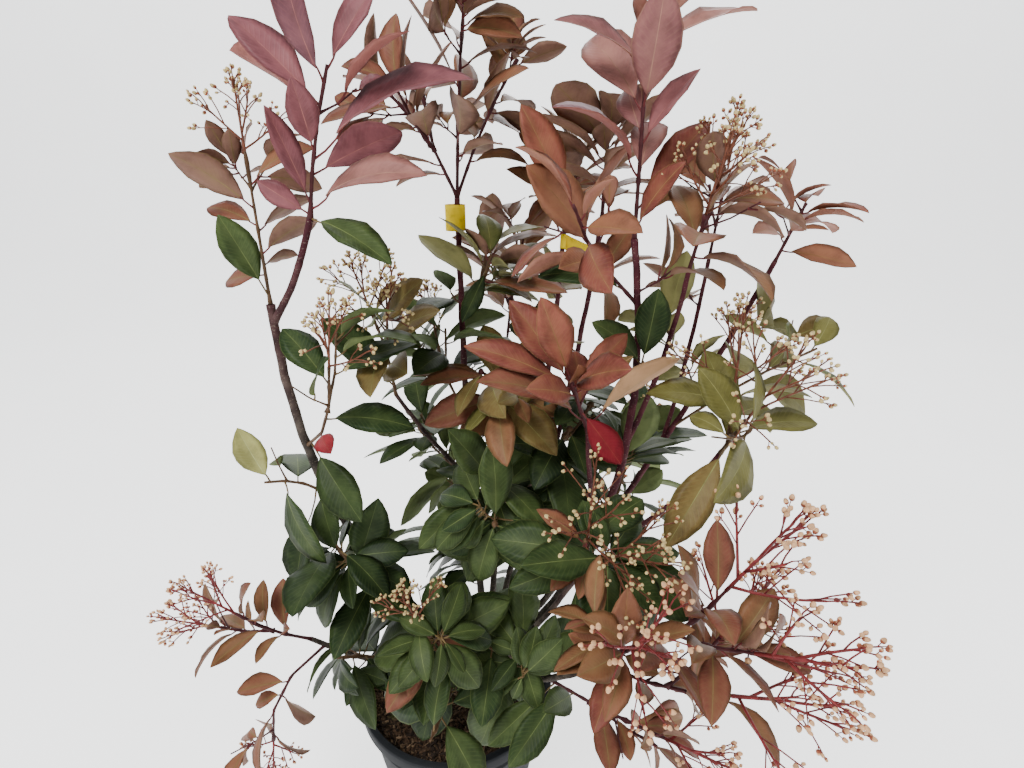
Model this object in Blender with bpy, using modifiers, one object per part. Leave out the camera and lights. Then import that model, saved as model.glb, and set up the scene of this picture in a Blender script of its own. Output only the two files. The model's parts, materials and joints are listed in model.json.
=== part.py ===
"""A potted photinia: stems from one short trunk, with leaves and flower heads, in a round nursery pot.

Units are metres, +Z is up. The origin is the middle of the pot's flat underside, +X is to the right
and +Y away from the viewer. Every limb is a bowed, tapering tube. Every mass of leaves grows from one
shoot by a seeded rule: leaves in a spiral, side twigs, and flower heads at the tips.
"""
import math
import random
from collections import namedtuple

import bmesh
import bpy
from mathutils import Matrix, Quaternion, Vector
from mathutils.bvhtree import BVHTree

GAP = 0.0003
UP = Vector((0, 0, 1))
RIGHT = Vector((1, 0, 0))

# The pot and what fills it
POT_HEIGHT = 0.225
RIM_RADIUS = 0.140
RIM_WIDTH = 0.010
RIM_DEPTH = 0.024
SHOULDER_RADIUS = 0.1325
FOOT_RADIUS = 0.104
POT_WALL = 0.0030
POT_FLOOR = 0.0040
POT_STEPS = 24
HOLE_RADIUS = 0.006
HOLE_RING = 0.066
HOLE_COUNT = 5
MIX_TOP = 0.192

# The trunk, from its flat cut on the mix to its fork
TRUNK_FOOT = Vector((0.040, -0.004, MIX_TOP + GAP))
TRUNK_TOP = Vector((0.046, 0.000, 0.258))
TRUNK_FLARE = 0.010
TRUNK_RADII = (0.0240, 0.0178, 0.0158, 0.0146, 0.0136, 0.0126)

# A limb runs from a share of its parent's length to its tip. Its bow lifts its middle off the
# straight line, up when positive.
Limb = namedtuple("Limb", "name parent at tip bow foot_radius tip_radius")
LIMBS = (
    Limb("stem_left", "trunk", 0.80, (-0.172, -0.030, 0.790), -0.062, 0.0066, 0.0046),
    Limb("stem_centre", "trunk", 0.98, (0.017, 0.090, 0.890), -0.028, 0.0054, 0.0034),
    Limb("stem_back_right", "trunk", 0.95, (0.150, 0.138, 0.855), -0.030, 0.0045, 0.0030),
    Limb("stem_middle", "trunk", 0.97, (0.187, 0.070, 0.870), -0.020, 0.0042, 0.0028),
    Limb("stem_right", "trunk", 0.85, (0.201, -0.050, 0.860), -0.075, 0.0058, 0.0034),
    Limb("stem_far_right", "trunk", 0.72, (0.392, 0.058, 0.820), -0.022, 0.0048, 0.0030),
    Limb("stem_front_right", "trunk", 0.62, (0.192, -0.200, 0.490), -0.020, 0.0048, 0.0032),
    Limb("stem_front", "trunk", 0.90, (0.160, -0.115, 0.520), -0.012, 0.0040, 0.0028),
    Limb("stem_low_left", "trunk", 0.55, (-0.176, -0.064, 0.360), -0.016, 0.0045, 0.0030),
    Limb("stem_back", "trunk", 0.90, (0.070, 0.170, 0.640), -0.025, 0.0050, 0.0033),
    Limb("bough_left_leader", "stem_left", 0.97, (-0.108, -0.060, 0.880), -0.006, 0.0038, 0.0032),
    Limb("bough_inner_left", "stem_centre", 0.42, (-0.060, 0.022, 0.665), -0.004, 0.0034, 0.0025),
    Limb("bough_coral", "stem_right", 0.46, (0.160, -0.092, 0.672), -0.006, 0.0032, 0.0025),
    Limb("bough_right_flower", "stem_right", 0.66, (0.256, -0.055, 0.830), -0.006, 0.0030, 0.0024),
    Limb("bough_far_top", "stem_far_right", 0.62, (0.326, 0.092, 0.820), -0.008, 0.0030, 0.0024),
    Limb("bough_right_low", "stem_right", 0.42, (0.290, -0.115, 0.660), -0.014, 0.0034, 0.0026),
)

# A shoot carries a mass of leaves. Turn is the compass turn of its lowest leaf in degrees, from
# the right by way of the back. Heads is its number of flower heads, and head their width. Lean is
# how far its lowest leaves lean away from it, and twist how far a blade may turn, in degrees.
COLUMNS = "name parent at tip bow leaves leaf tint twigs heads head turn lean twist"
Shoot = namedtuple("Shoot", COLUMNS, defaults=(66, 32))
SHOOTS = [Shoot(*row) for row in (
    ("leader_left", "bough_left_leader", 1, (-0.072, -0.074, 1.005), 0.004, 3, 0.100,
     "wine", 0, 0, 0, 350, 64, 70),
    ("flower_left", "stem_left", 1, (-0.190, 0.010, 0.940), -0.020, 6, 0.074,
     "olive", 0, 1, 0.066, 150, 70, 50),
    ("flower_left_inner", "stem_left", 0.72, (-0.100, -0.085, 0.740), -0.020, 5, 0.088,
     "green", 1, 1, 0.070, 0),
    ("spray_left_outer", "stem_left", 0.60, (-0.205, -0.050, 0.585), 0.010, 3, 0.094,
     "green", 0, 0, 0, 90, 110, 60),
    ("spray_left_low", "stem_left", 0.36, (-0.120, -0.080, 0.520), -0.010, 6, 0.102,
     "deep", 1, 0, 0, 40, 112),
    ("flower_inner_left", "bough_inner_left", 1, (-0.075, 0.004, 0.770), 0.004, 5, 0.082,
     "olive", 1, 2, 0.070, 200),
    ("leader_centre", "stem_centre", 1, (0.032, 0.112, 1.110), 0.004, 10, 0.092,
     "bronze", 0, 0, 0, 30, 62, 60),
    ("top_centre_left", "stem_centre", 1, (-0.062, 0.060, 1.010), 0.010, 11, 0.082,
     "bronze", 2, 0, 0, 180, 68, 50),
    ("top_centre_right", "stem_centre", 1, (0.088, 0.140, 1.040), 0.006, 9, 0.082,
     "bronze", 1, 0, 0, 0, 68, 60),
    ("spray_centre", "stem_centre", 0.80, (0.058, 0.050, 0.830), -0.010, 10, 0.090, "olive", 1, 0, 0, 0, 75),
    ("spray_centre_low", "stem_centre", 0.56, (-0.020, 0.100, 0.730), -0.010, 10, 0.098,
     "deep", 1, 1, 0.050, 200, 75),
    ("top_back_right", "stem_back_right", 1, (0.166, 0.150, 0.940), 0, 10, 0.090,
     "bronze", 0, 0, 0, 60, 70, 50),
    ("top_middle", "stem_middle", 1, (0.190, 0.080, 0.965), 0, 10, 0.094, "bronze", 0, 0, 0, 240, 70, 50),
    ("leader_right", "stem_right", 1, (0.196, -0.062, 1.045), 0, 3, 0.090, "rose", 0, 0, 0, 10, 60, 60),
    ("coral_upper", "stem_right", 0.90, (0.118, -0.066, 0.925), -0.010, 7, 0.080,
     "coral", 1, 0, 0, 180, 72, 45),
    ("flower_right", "bough_right_flower", 1, (0.258, -0.078, 0.885), 0, 7, 0.082,
     "bronze", 1, 2, 0.072, 320, 80, 50),
    ("top_far", "bough_far_top", 1, (0.336, 0.100, 0.910), 0, 7, 0.080, "bronze", 1, 1, 0.055, 120, 75, 50),
    ("top_far_right", "stem_far_right", 1, (0.420, 0.066, 0.885), 0, 7, 0.080,
     "coral", 0, 0, 0, 330, 75, 50),
    ("spray_far_outer", "stem_far_right", 0.66, (0.425, -0.010, 0.735), 0.006, 7, 0.086,
     "olive", 0, 0, 0, 0, 75, 45),
    ("coral_middle", "bough_coral", 1, (0.136, -0.114, 0.742), 0, 2, 0.080, "coral", 0, 0, 0, 180, 76, 40),
    ("bronze_middle", "stem_back_right", 0.62, (0.045, 0.010, 0.700), -0.006, 12, 0.098,
     "bronze", 1, 0, 0, 200, 80),
    ("flower_right_low", "bough_right_low", 1, (0.300, -0.136, 0.705), 0, 7, 0.080,
     "olive", 2, 2, 0.100, 0, 80),
    ("green_middle", "stem_back_right", 0.36, (0.055, -0.045, 0.590), -0.010, 13, 0.102,
     "green", 1, 0, 0, 180, 105),
    ("green_inner", "stem_middle", 0.42, (0.150, -0.020, 0.640), 0.010, 12, 0.100, "deep", 1, 0, 0, 300, 105),
    ("flower_front", "stem_front", 1, (0.155, -0.160, 0.590), 0, 8, 0.095, "green", 1, 2, 0.095, 210, 100),
    ("flower_near_top", "stem_front_right", 1, (0.262, -0.238, 0.600), -0.010, 6, 0.072,
     "bronze", 1, 2, 0.095, 200),
    ("flower_near_left", "stem_front_right", 0.93, (0.180, -0.262, 0.560), 0, 5, 0.072,
     "bronze", 0, 1, 0.085, 180),
    ("flower_near_right", "stem_front_right", 0.85, (0.280, -0.250, 0.490), -0.010, 6, 0.072,
     "bronze", 1, 2, 0.090, 340),
    ("flower_low_right", "stem_front_right", 0.50, (0.245, -0.205, 0.370), -0.004, 6, 0.078,
     "bronze", 1, 1, 0.070, 200),
    ("flower_low_left", "stem_low_left", 1, (-0.248, -0.092, 0.430), -0.006, 6, 0.062,
     "bronze", 1, 2, 0.075, 90),
    ("flower_hanging", "stem_low_left", 0.92, (-0.220, -0.120, 0.250), 0.030, 5, 0.064,
     "bronze", 0, 1, 0.060, 180),
    ("flower_front_left", "trunk", 0.75, (-0.024, -0.130, 0.460), -0.020, 10, 0.092,
     "green", 1, 1, 0.055, 180, 105),
    ("foot_left", "stem_low_left", 0.45, (-0.140, -0.080, 0.345), 0.010, 5, 0.106, "deep", 0, 0, 0, 90, 105),
    ("foot_front", "trunk", 0.45, (-0.014, -0.095, 0.360), 0.012, 9, 0.102, "deep", 1, 0, 0, 200, 110),
    ("foot_right", "stem_front_right", 0.25, (0.094, -0.112, 0.390), 0.010, 11, 0.100,
     "green", 2, 0, 0, 300, 110),
    ("back_top", "stem_back", 1, (0.090, 0.225, 0.830), 0, 9, 0.094, "bronze", 2, 0, 0, 30, 75),
    ("back_left", "stem_back", 0.55, (-0.080, 0.190, 0.560), -0.020, 8, 0.102, "green", 1, 0, 0, 180, 80),
    ("back_low", "trunk", 0.60, (0.030, 0.150, 0.400), -0.020, 9, 0.104, "deep", 1, 0, 0, 60, 80),
    ("back_right", "stem_far_right", 0.42, (0.270, 0.150, 0.560), -0.020, 9, 0.098,
     "green", 2, 1, 0.060, 20, 80),
)]

# The largest leaves are set by hand: the shoot and the share of it that one leaves at, where its tip
# lies from there in metres, the way its face looks, its droop, its width as a share of its length,
# and its stalk likewise
Lead = namedtuple("Lead", "shoot at tip face droop tint wide stalk", defaults=(0.46, 0.18))
LEADS = (
    Lead("leader_left", 0.75, (-0.075, 0.020, 0.070), (0.3, -0.8, 0.5), 0.3, "wine"),
    Lead("leader_left", 0.88, (-0.010, -0.035, 0.080), (-0.4, -0.9, 0.1), 0.5, "wine"),
    Lead("leader_left", 0.97, (0.045, 0.005, 0.060), (-0.5, -0.8, 0.2), 0.2, "wine"),
    Lead("leader_left", 0.45, (0.000, -0.035, 0.055), (0.4, -0.9, 0.2), 0.3, "wine", 0.52),
    Lead("leader_left", 0.40, (0.145, 0.015, 0.065), (-0.3, -0.5, 0.8), 0.9, "wine", 0.40, 0.24),
    Lead("leader_left", 0.06, (0.115, -0.030, 0.030), (-0.2, -0.5, 0.8), 0.9, "rose", 0.40, 0.24),
    Lead("leader_left", 0.10, (-0.020, -0.025, 0.080), (0.6, -0.8, 0.1), 0.3, "wine", 0.36),
    Lead("leader_left", 0.02, (-0.045, 0.000, 0.030), (0.3, -0.9, 0.1), 0.2, "wine", 0.50),
    Lead("flower_left", 0.05, (-0.025, -0.025, 0.085), (0.3, -0.8, 0.5), 0.3, "green", 0.50, 0.30),
    Lead("leader_left", 0.00, (0.085, -0.055, -0.035), (0.1, -0.6, 0.7), 0.6, "green", 0.40, 0.20),
    Lead("leader_right", 0.60, (0.000, -0.045, 0.085), (0.0, -1.0, 0.0), 0.2, "rose", 0.52),
    Lead("leader_right", 0.78, (-0.080, 0.000, 0.035), (0.2, -0.5, 0.8), 0.6, "rose"),
    Lead("leader_right", 0.85, (0.100, 0.030, 0.035), (-0.1, -0.5, 0.9), 0.5, "rose", 0.40),
    Lead("leader_right", 0.45, (0.045, -0.005, 0.060), (-0.5, -0.6, 0.6), 0.5, "wine"),
    Lead("leader_right", 0.30, (-0.085, -0.045, 0.055), (0.3, -0.3, 0.9), 1.0, "wine", 0.44, 0.24),
    Lead("leader_right", 0.14, (0.075, 0.050, 0.080), (-0.2, -0.8, 0.5), 0.4, "coral", 0.36),
    Lead("leader_right", 0.05, (0.030, -0.040, 0.060), (-0.6, -0.6, 0.4), 0.5, "coral", 0.40),
    Lead("coral_upper", 0.45, (-0.065, -0.040, 0.075), (0.4, -0.8, 0.3), 0.5, "coral", 0.52),
    Lead("coral_upper", 0.75, (-0.045, -0.005, 0.085), (0.3, -0.9, 0.2), 0.3, "coral"),
    Lead("coral_upper", 0.35, (-0.045, -0.065, 0.005), (0.2, -0.6, 0.7), 0.4, "wine"),
    Lead("coral_upper", 0.10, (-0.085, 0.010, 0.010), (0.1, -0.6, 0.8), 1.1, "green", 0.42, 0.10),
    Lead("coral_middle", 0.95, (-0.030, -0.005, 0.080), (0.2, -1.0, 0.0), 0.2, "coral", 0.52),
    Lead("coral_middle", 0.88, (0.000, -0.045, 0.035), (0.2, -1.0, 0.3), 0.2, "coral", 0.40),
    Lead("coral_middle", 0.85, (-0.060, 0.030, 0.075), (0.4, -0.9, 0.2), 0.3, "coral"),
    Lead("coral_middle", 0.75, (-0.105, 0.000, 0.045), (0.2, -0.5, 0.8), 0.6, "wine", 0.36, 0.24),
    Lead("coral_middle", 0.66, (-0.050, -0.055, 0.030), (0.3, -0.6, 0.6), 0.4, "rose"),
    Lead("coral_middle", 0.20, (-0.105, -0.045, 0.060), (0.2, -0.4, 0.9), 0.9, "bronze", 0.44, 0.24),
    Lead("coral_middle", 0.70, (0.045, -0.035, 0.050), (-0.5, -0.8, 0.2), 0.2, "peach", 0.34),
    Lead("coral_middle", 0.78, (0.055, 0.035, 0.045), (-0.2, -0.9, 0.4), 0.3, "coral", 0.40),
    Lead("coral_middle", 0.12, (0.090, 0.005, 0.070), (-0.4, 0.7, 0.5), 0.3, "peach", 0.44, 0.24),
    Lead("coral_middle", 0.40, (0.040, -0.020, -0.050), (0.2, -0.9, 0.3), 0.3, "crimson", 0.56),
    Lead("flower_inner_left", 0.10, (-0.065, -0.040, 0.095), (0.3, -0.6, 0.7), 0.5, "green", 0.44, 0.24),
    Lead("flower_left_inner", 0.30, (0.025, -0.045, 0.000), (0.3, -0.9, 0.3), 0.3, "crimson", 0.56),
    Lead("flower_left_inner", 0.05, (0.065, -0.055, -0.070), (0.2, -0.9, 0.3), 0.3, "deep", 0.54, 0.25),
    Lead("spray_left_outer", 0.90, (-0.020, -0.010, 0.075), (0.1, -1.0, 0.3), 0.3, "lime", 0.52),
    Lead("spray_left_outer", 0.04, (0.025, -0.040, -0.055), (-0.1, -0.9, 0.4), 0.3, "deep", 0.66),
    Lead("spray_left_outer", 0.10, (-0.030, -0.030, -0.120), (-0.3, -0.8, 0.5), 0.3, "deep", 0.56, 0.50),
    Lead("spray_left_low", 0.50, (0.035, 0.000, 0.100), (0.2, -1.0, 0.1), 0.2, "deep", 0.54),
    Lead("spray_left_low", 0.10, (-0.035, -0.085, -0.050), (-0.2, -0.6, 0.7), 0.3, "green", 0.50),
    Lead("green_middle", 0.95, (-0.080, -0.050, -0.060), (-0.1, -0.8, 0.5), 0.4, "green", 0.48, 0.45),
    Lead("green_middle", 0.98, (-0.040, -0.045, 0.085), (0.3, -0.8, 0.5), 0.3, "green", 0.50),
    Lead("green_middle", 0.90, (0.030, -0.065, -0.060), (0.1, -0.8, 0.5), 0.3, "green", 0.54, 0.30),
    Lead("green_inner", 0.60, (-0.065, -0.065, 0.045), (0.1, -0.7, 0.7), 0.3, "green", 0.60, 0.30),
    Lead("green_inner", 0.97, (0.015, -0.050, -0.030), (0.2, -0.8, 0.5), 0.3, "green", 0.60),
    Lead("spray_centre", 0.80, (-0.030, -0.025, -0.060), (0.3, -0.9, 0.2), 0.2, "deep", 0.38),
    Lead("foot_left", 0.40, (-0.030, -0.060, -0.015), (-0.3, -0.5, 0.8), 0.4, "green", 0.60),
    Lead("foot_front", 0.85, (-0.040, -0.065, -0.010), (-0.1, -0.5, 0.9), 0.4, "deep", 0.50),
    Lead("foot_front", 0.95, (-0.005, -0.080, -0.010), (0.0, -0.7, 0.6), 0.4, "green", 0.60),
    Lead("flower_front_left", 0.50, (0.015, -0.065, 0.025), (0.1, -0.5, 0.8), 0.3, "green", 0.66),
    Lead("flower_front_left", 0.85, (-0.015, -0.050, -0.040), (0.2, -0.8, 0.5), 0.3, "bronze", 0.36),
    Lead("flower_front", 0.20, (-0.080, -0.025, -0.015), (0.1, -0.7, 0.7), 0.4, "green", 0.52),
    Lead("foot_right", 0.95, (-0.035, -0.040, -0.015), (-0.1, -0.6, 0.8), 0.3, "deep", 0.50),
    Lead("flower_low_right", 0.02, (-0.080, -0.040, -0.055), (0.1, -0.6, 0.8), 0.3, "green", 0.46, 0.30),
    Lead("flower_low_right", 0.10, (-0.065, -0.065, -0.045), (0.0, -0.7, 0.7), 0.3, "green"),
    Lead("flower_low_right", 0.20, (-0.040, -0.055, 0.040), (0.1, -0.6, 0.8), 0.3, "green", 0.50),
    Lead("flower_right_low", 0.30, (-0.065, -0.050, -0.085), (-0.3, -0.8, 0.5), 0.4, "olive", 0.40),
    Lead("flower_right_low", 0.55, (-0.015, 0.065, 0.065), (0.2, -0.9, 0.3), 0.3, "olive", 0.56, 0.30),
    Lead("flower_near_left", 0.40, (-0.005, -0.020, 0.095), (-0.1, -1.0, 0.0), 0.3, "coral", 0.36),
    Lead("flower_near_left", 0.30, (-0.050, -0.010, 0.035), (0.2, -0.8, 0.6), 0.3, "coral"),
    Lead("flower_near_left", 0.20, (-0.030, -0.060, -0.025), (0.0, -0.7, 0.7), 0.4, "coral"),
)
LEAD_FOLD = 0.35

SEAT_STEP = 0.001
LIMB_STEPS = 8
STUB_STEPS = 2
SHOOT_STEPS = 3
SHOOT_RADII = (0.0020, 0.0013)

# Twigs leave a shoot's middle stretch, and need more room than they fill
TWIG_RADII = (0.0014, 0.0013, 0.0012)
TWIG_STRETCH = (0.30, 0.60)
TWIG_REACH = (0.05, 0.6)
TWIG_BOW = -0.004
TWIG_ROOM = 0.003
TWIG_LEAVES = 3

# Leaves start at a share of their twig: low on a shoot that ends a limb, higher on one that leaves
# its side
TIP_START = 0.12
SIDE_START = 0.30
TWIG_START = 0.35
LEAF_TURN = math.radians(137.5)
LEAF_TRIES = 8
LEAF_ROOM = 0.0012
LEAF_THICKNESS = 0.0014

# An old leaf is wider and flatter than a young one. A face looks along its twig and to the sky, and
# an old one also outwards, in these shares
OLD_TINTS = ("olive", "green", "deep")
YOUNG_WIDTHS = (0.44, 0.53)
YOUNG_FOLDS = (0.15, 0.50)
OLD_WIDER = 1.12
OLD_FLATTER = 0.5
FACE_SHARES = (0.45, 0.65, 0.40)
OUTLINE_SKEW = 1.1
OUTLINE_FULL = 0.8
LEAF_STEPS = (0.26, 0.66)
FLATTER = 0.3
ROOT_RADIUS = 0.0004
THIRDS = [math.radians(angle) for angle in (30, 150, 270)]

# A flower head's axis and rays, its rays' neck and brim as shares of their length, and the width of
# a ray's clump of buds as a share of the head's
HEAD_SINK = 0.003
AXIS_SHARE = 0.5
AXIS_RADII = (0.0013, 0.0010)
RAYS = 4
RAY_NECK = 0.62
RAY_BRIM = 0.88
NECK_RADIUS = 0.0010
CLUMP_SHARE = 0.13

# Plain ties, each a band round a limb at a share of its length with a flat tail. Turn is the band's
# turn about the limb, reach how far along the tail its middle stands from the limb, tilt how far it
# hangs down.
TAG_WALL = 0.0010
TAG_THICKNESS = 0.0009
TAIL_HEIGHT = 0.92
TAG_ROOM = 0.7
Tag = namedtuple("Tag", "name limb at width height tilt turn reach")
TAGS = (
    Tag("tag_centre", "stem_centre", 0.965, 0.026, 0.030, 0, 95, 0.1),
    Tag("tag_right", "stem_back_right", 0.965, 0.036, 0.018, 20, 260, 0.45),
)

Leaf = namedtuple("Leaf", "root out up stalk length width droop fold tint")
Ray = namedtuple("Ray", "foot top spread")


# Lines

def bowed(start, tip, bow, steps):
    """Points of a line from start to tip whose middle is lifted off the straight line by bow."""
    start = Vector(start)
    tip = Vector(tip)
    chord = (tip - start).normalized()
    lift = (UP - UP.dot(chord) * chord).normalized()
    bend = (start + tip) / 2 + 2 * bow * lift
    line = []
    for i in range(steps + 1):
        t = i / steps
        line.append((1 - t) ** 2 * start + 2 * t * (1 - t) * bend + t ** 2 * tip)
    return line


def along(line, share):
    """The point and the heading at a share of a line's length."""
    lengths = [(b - a).length for a, b in zip(line, line[1:])]
    reach = share * sum(lengths)
    for a, b, length in zip(line, line[1:], lengths):
        if reach <= length or b is line[-1]:
            return a.lerp(b, min(1, reach / length)), (b - a).normalized()
        reach -= length


def cut_from(line, share, steps):
    """The line from a share of its length to its tip."""
    return [along(line, share + (1 - share) * i / steps)[0] for i in range(steps + 1)]


def tapered(foot_radius, tip_radius, share, count):
    """Radii of a limb's points from a share of its length to its tip."""
    shares = [share + (1 - share) * i / (count - 1) for i in range(count)]
    return [foot_radius + (tip_radius - foot_radius) * s for s in shares]


def distance_to(point, line):
    """Distance from a point to the nearest place on a line, and the share of the points passed."""
    best, place = 1e9, 0
    for i, (a, b) in enumerate(zip(line, line[1:])):
        run = b - a
        share = max(0, min(1, (point - a).dot(run) / run.length_squared))
        gap = (point - a - run * share).length
        if gap < best:
            best, place = gap, (i + share) / (len(line) - 1)
    return best, place


def clear_share(line, radius, others):
    """The share of a line's length past which a tube round it first stands clear of the others."""
    checks = 120
    for i in range(checks):
        point, _ = along(line, i / checks)
        touching = False
        for other, radii in others:
            gap, place = distance_to(point, other)
            there = radii[0] + (radii[-1] - radii[0]) * place
            touching = touching or gap < radius + there + GAP
        if not touching:
            return i / checks
    return 1


def beside(heading, turn):
    """A direction square to a heading, turned about it from the right."""
    start = RIGHT if abs(heading.x) < 0.9 else UP
    side = (start - start.dot(heading) * heading).normalized()
    return Quaternion(heading, turn) @ side


# Shapes as points and faces

def loft(rings, tip=None):
    """A closed shape through rings of as many points each, to a flat end or to a tip."""
    count = len(rings[0])
    points = [point for ring in rings for point in ring]
    faces = [tuple(reversed(range(count)))]
    for row in range(len(rings) - 1):
        for i in range(count):
            a = row * count + i
            b = row * count + (i + 1) % count
            faces += [(a, b, b + count), (a, b + count, a + count)]
    last = (len(rings) - 1) * count
    if tip is None:
        faces.append(tuple(range(last, last + count)))
    else:
        points.append(tip)
        faces += [(last + i, last + (i + 1) % count, len(points) - 1) for i in range(count)]
    return points, faces


def tube(line, radii, sides=3):
    """A closed tapering tube round a line."""
    heading = (line[1] - line[0]).normalized()
    side = heading.orthogonal().normalized()
    rings = []
    for i, (point, radius) in enumerate(zip(line, radii)):
        heading = (line[min(i + 1, len(line) - 1)] - line[max(i - 1, 0)]).normalized()
        side = (side - side.dot(heading) * heading).normalized()
        turns = [Quaternion(heading, 2 * math.pi * k / sides) for k in range(sides)]
        rings.append([point + radius * (turn @ side) for turn in turns])
    return loft(rings)


def seated_share(line, foot_radius, tip_radius, steps, trees):
    """The share of a line's length past which a tube round it lies a gap clear of the solids."""
    length = sum((b - a).length for a, b in zip(line, line[1:]))

    def touches(reach):
        share = reach / length
        radii = [radius + 2 * GAP for radius in tapered(foot_radius, tip_radius, share, steps + 1)]
        trial = BVHTree.FromPolygons(*tube(cut_from(line, share, steps), radii))
        return any(trial.overlap(tree) for tree in trees)

    reach = 0
    while touches(reach):
        reach += SEAT_STEP
    reach = max(0, reach - SEAT_STEP)
    while touches(reach):
        reach += SEAT_STEP / 20
    return (reach + GAP) / length


def outline(t):
    """A leaf's half width at t along it: a wedge at the foot, widest past the middle, a pointed tip."""
    return math.sin(math.pi * t ** OUTLINE_SKEW) ** OUTLINE_FULL if 0 < t < 1 else 0


def blade(leaf, t, side=0, lift=0):
    """A point of a leaf's curved and folded blade, t along it and side of its half width across."""
    bend = leaf.droop * t
    run = leaf.length / leaf.droop
    middle = leaf.root + (leaf.stalk + run * math.sin(bend)) * leaf.out
    middle -= run * (1 - math.cos(bend)) * leaf.up
    up = math.cos(bend) * leaf.up + math.sin(bend) * leaf.out
    across = leaf.up.cross(leaf.out)
    half = leaf.width / 2 * outline(t)
    rise = abs(side) * half * math.sin(leaf.fold) + lift
    return middle + side * half * math.cos(leaf.fold) * across + rise * up


def leaf_shape(leaf, swell=0):
    """A leaf as a thin closed blade on its stalk, thicker by a swell."""
    across = leaf.up.cross(leaf.out)
    spokes = [math.cos(a) * across + math.sin(a) * leaf.up for a in THIRDS]
    rings = [[leaf.root + ROOT_RADIUS * spoke for spoke in spokes]]
    flat = leaf._replace(width=leaf.width + 2 * swell, fold=leaf.fold * FLATTER)
    for t in LEAF_STEPS:
        keel = blade(leaf, t, 0, -LEAF_THICKNESS - swell)
        rings.append([blade(flat, t, 1, swell), blade(flat, t, -1, swell), keel])
    return loft(rings, blade(leaf, 1))


def ray_shape(ray):
    """A flower ray that opens into a flat-topped clump of buds."""
    heading = (ray.top - ray.foot).normalized()
    side = heading.orthogonal().normalized()
    rings = []
    neck = ray.foot.lerp(ray.top, RAY_NECK)
    brim = ray.foot.lerp(ray.top, RAY_BRIM)
    for point, radius in ((ray.foot, ROOT_RADIUS), (neck, NECK_RADIUS), (brim, ray.spread)):
        turns = [Quaternion(heading, 2 * math.pi * k / 3) for k in range(3)]
        rings.append([point + radius * (turn @ side) for turn in turns])
    return loft(rings, ray.top)


class Space:
    """What stands in the crown, so that nothing grows through it."""

    def __init__(self):
        self.taken = []

    def take(self, shape, owner):
        points, faces = shape
        low = [min(p[i] for p in points) for i in range(3)]
        high = [max(p[i] for p in points) for i in range(3)]
        self.taken.append((low, high, BVHTree.FromPolygons(points, faces), owner))

    def free(self, shape, apart_from):
        """Whether a shape crosses nothing, apart from what it grows on."""
        points, faces = shape
        low = [min(p[i] for p in points) for i in range(3)]
        high = [max(p[i] for p in points) for i in range(3)]
        tree = BVHTree.FromPolygons(points, faces)
        for other_low, other_high, other, owner in self.taken:
            if owner in apart_from:
                continue
            if any(low[i] > other_high[i] or high[i] < other_low[i] for i in range(3)):
                continue
            if tree.overlap(other):
                return False
        return True


# The growing rule

def grown_leaf(rng, shoot, point, heading, turn, share):
    """A leaf at a share of its twig, turned round it. It leans closer to the twig near the tip."""
    old = shoot.tint in OLD_TINTS
    side = beside(heading, turn)
    lean = math.radians(shoot.lean + rng.uniform(-12, 12) - 30 * share)
    out = (heading * math.cos(lean) + side * math.sin(lean)).normalized()
    inner = heading * math.sin(lean) - side * math.cos(lean)
    outwards = Vector((point.x, point.y, 0)).normalized() * old
    face = inner * FACE_SHARES[0] + UP * FACE_SHARES[1] + outwards * FACE_SHARES[2]
    face = (face - face.dot(out) * out).normalized()
    face = Quaternion(out, math.radians(rng.uniform(-shoot.twist, shoot.twist))) @ face
    length = shoot.leaf * rng.uniform(0.80, 1.08) * (1 - 0.3 * max(0, share - 0.75) / 0.25)
    width = length * rng.uniform(*YOUNG_WIDTHS) * (OLD_WIDER if old else 1)
    fold = rng.uniform(*YOUNG_FOLDS) * (OLD_FLATTER if old else 1)
    return Leaf(point, out, face, length * rng.uniform(0.12, 0.18), length, width,
                rng.uniform(0.25, 0.95), fold, shoot.tint)


def leading_leaf(lead, stem):
    """A leaf set by hand, its arch and length worked out so that its tip lies where it is wanted."""
    point, _ = along(stem, lead.at)
    tip = Vector(lead.tip)
    aim = tip.normalized()
    face = Vector(lead.face)
    face = (face - face.dot(aim) * aim).normalized()
    ahead = lead.stalk + math.sin(lead.droop) / lead.droop
    below = (1 - math.cos(lead.droop)) / lead.droop
    length = tip.length / math.hypot(ahead, below)
    rise = math.atan2(below, ahead)
    out = aim * math.cos(rise) + face * math.sin(rise)
    up = face * math.cos(rise) - aim * math.sin(rise)
    sizes = (lead.stalk * length, length, lead.wide * length)
    return Leaf(point, out, up, *sizes, lead.droop, LEAD_FOLD, lead.tint)


def grow_leads(space, name, stem):
    """The leaves of a shoot that are set by hand. One that would cross anything is left out."""
    leaves = []
    for lead in LEADS:
        if lead.shoot == name:
            leaf = leading_leaf(lead, stem)
            shape = leaf_shape(leaf)
            own = (name + " twigs",)
            if space.free(shape, own) and space.free(leaf_shape(leaf, LEAF_ROOM), own):
                space.take(shape, name)
                leaves.append(leaf)
    return leaves


def grow_leaves(rng, space, shoot, line, count, first, turn):
    """Leaves in a spiral from a share of a twig to its tip. One that finds no free place is skipped."""
    own = (shoot.name + " twigs",)
    leaves = []
    for i in range(count):
        share = first + (1 - first) * (i + 0.6) / count
        point, heading = along(line, min(share, 0.995))
        for attempt in range(LEAF_TRIES):
            angle = turn + (i + attempt * 0.37) * LEAF_TURN + rng.uniform(-0.25, 0.25)
            leaf = grown_leaf(rng, shoot, point, heading, angle, share)
            shape = leaf_shape(leaf)
            if space.free(shape, own) and space.free(leaf_shape(leaf, LEAF_ROOM), own):
                space.take(shape, shoot.name)
                leaves.append(leaf)
                break
    return leaves


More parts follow.
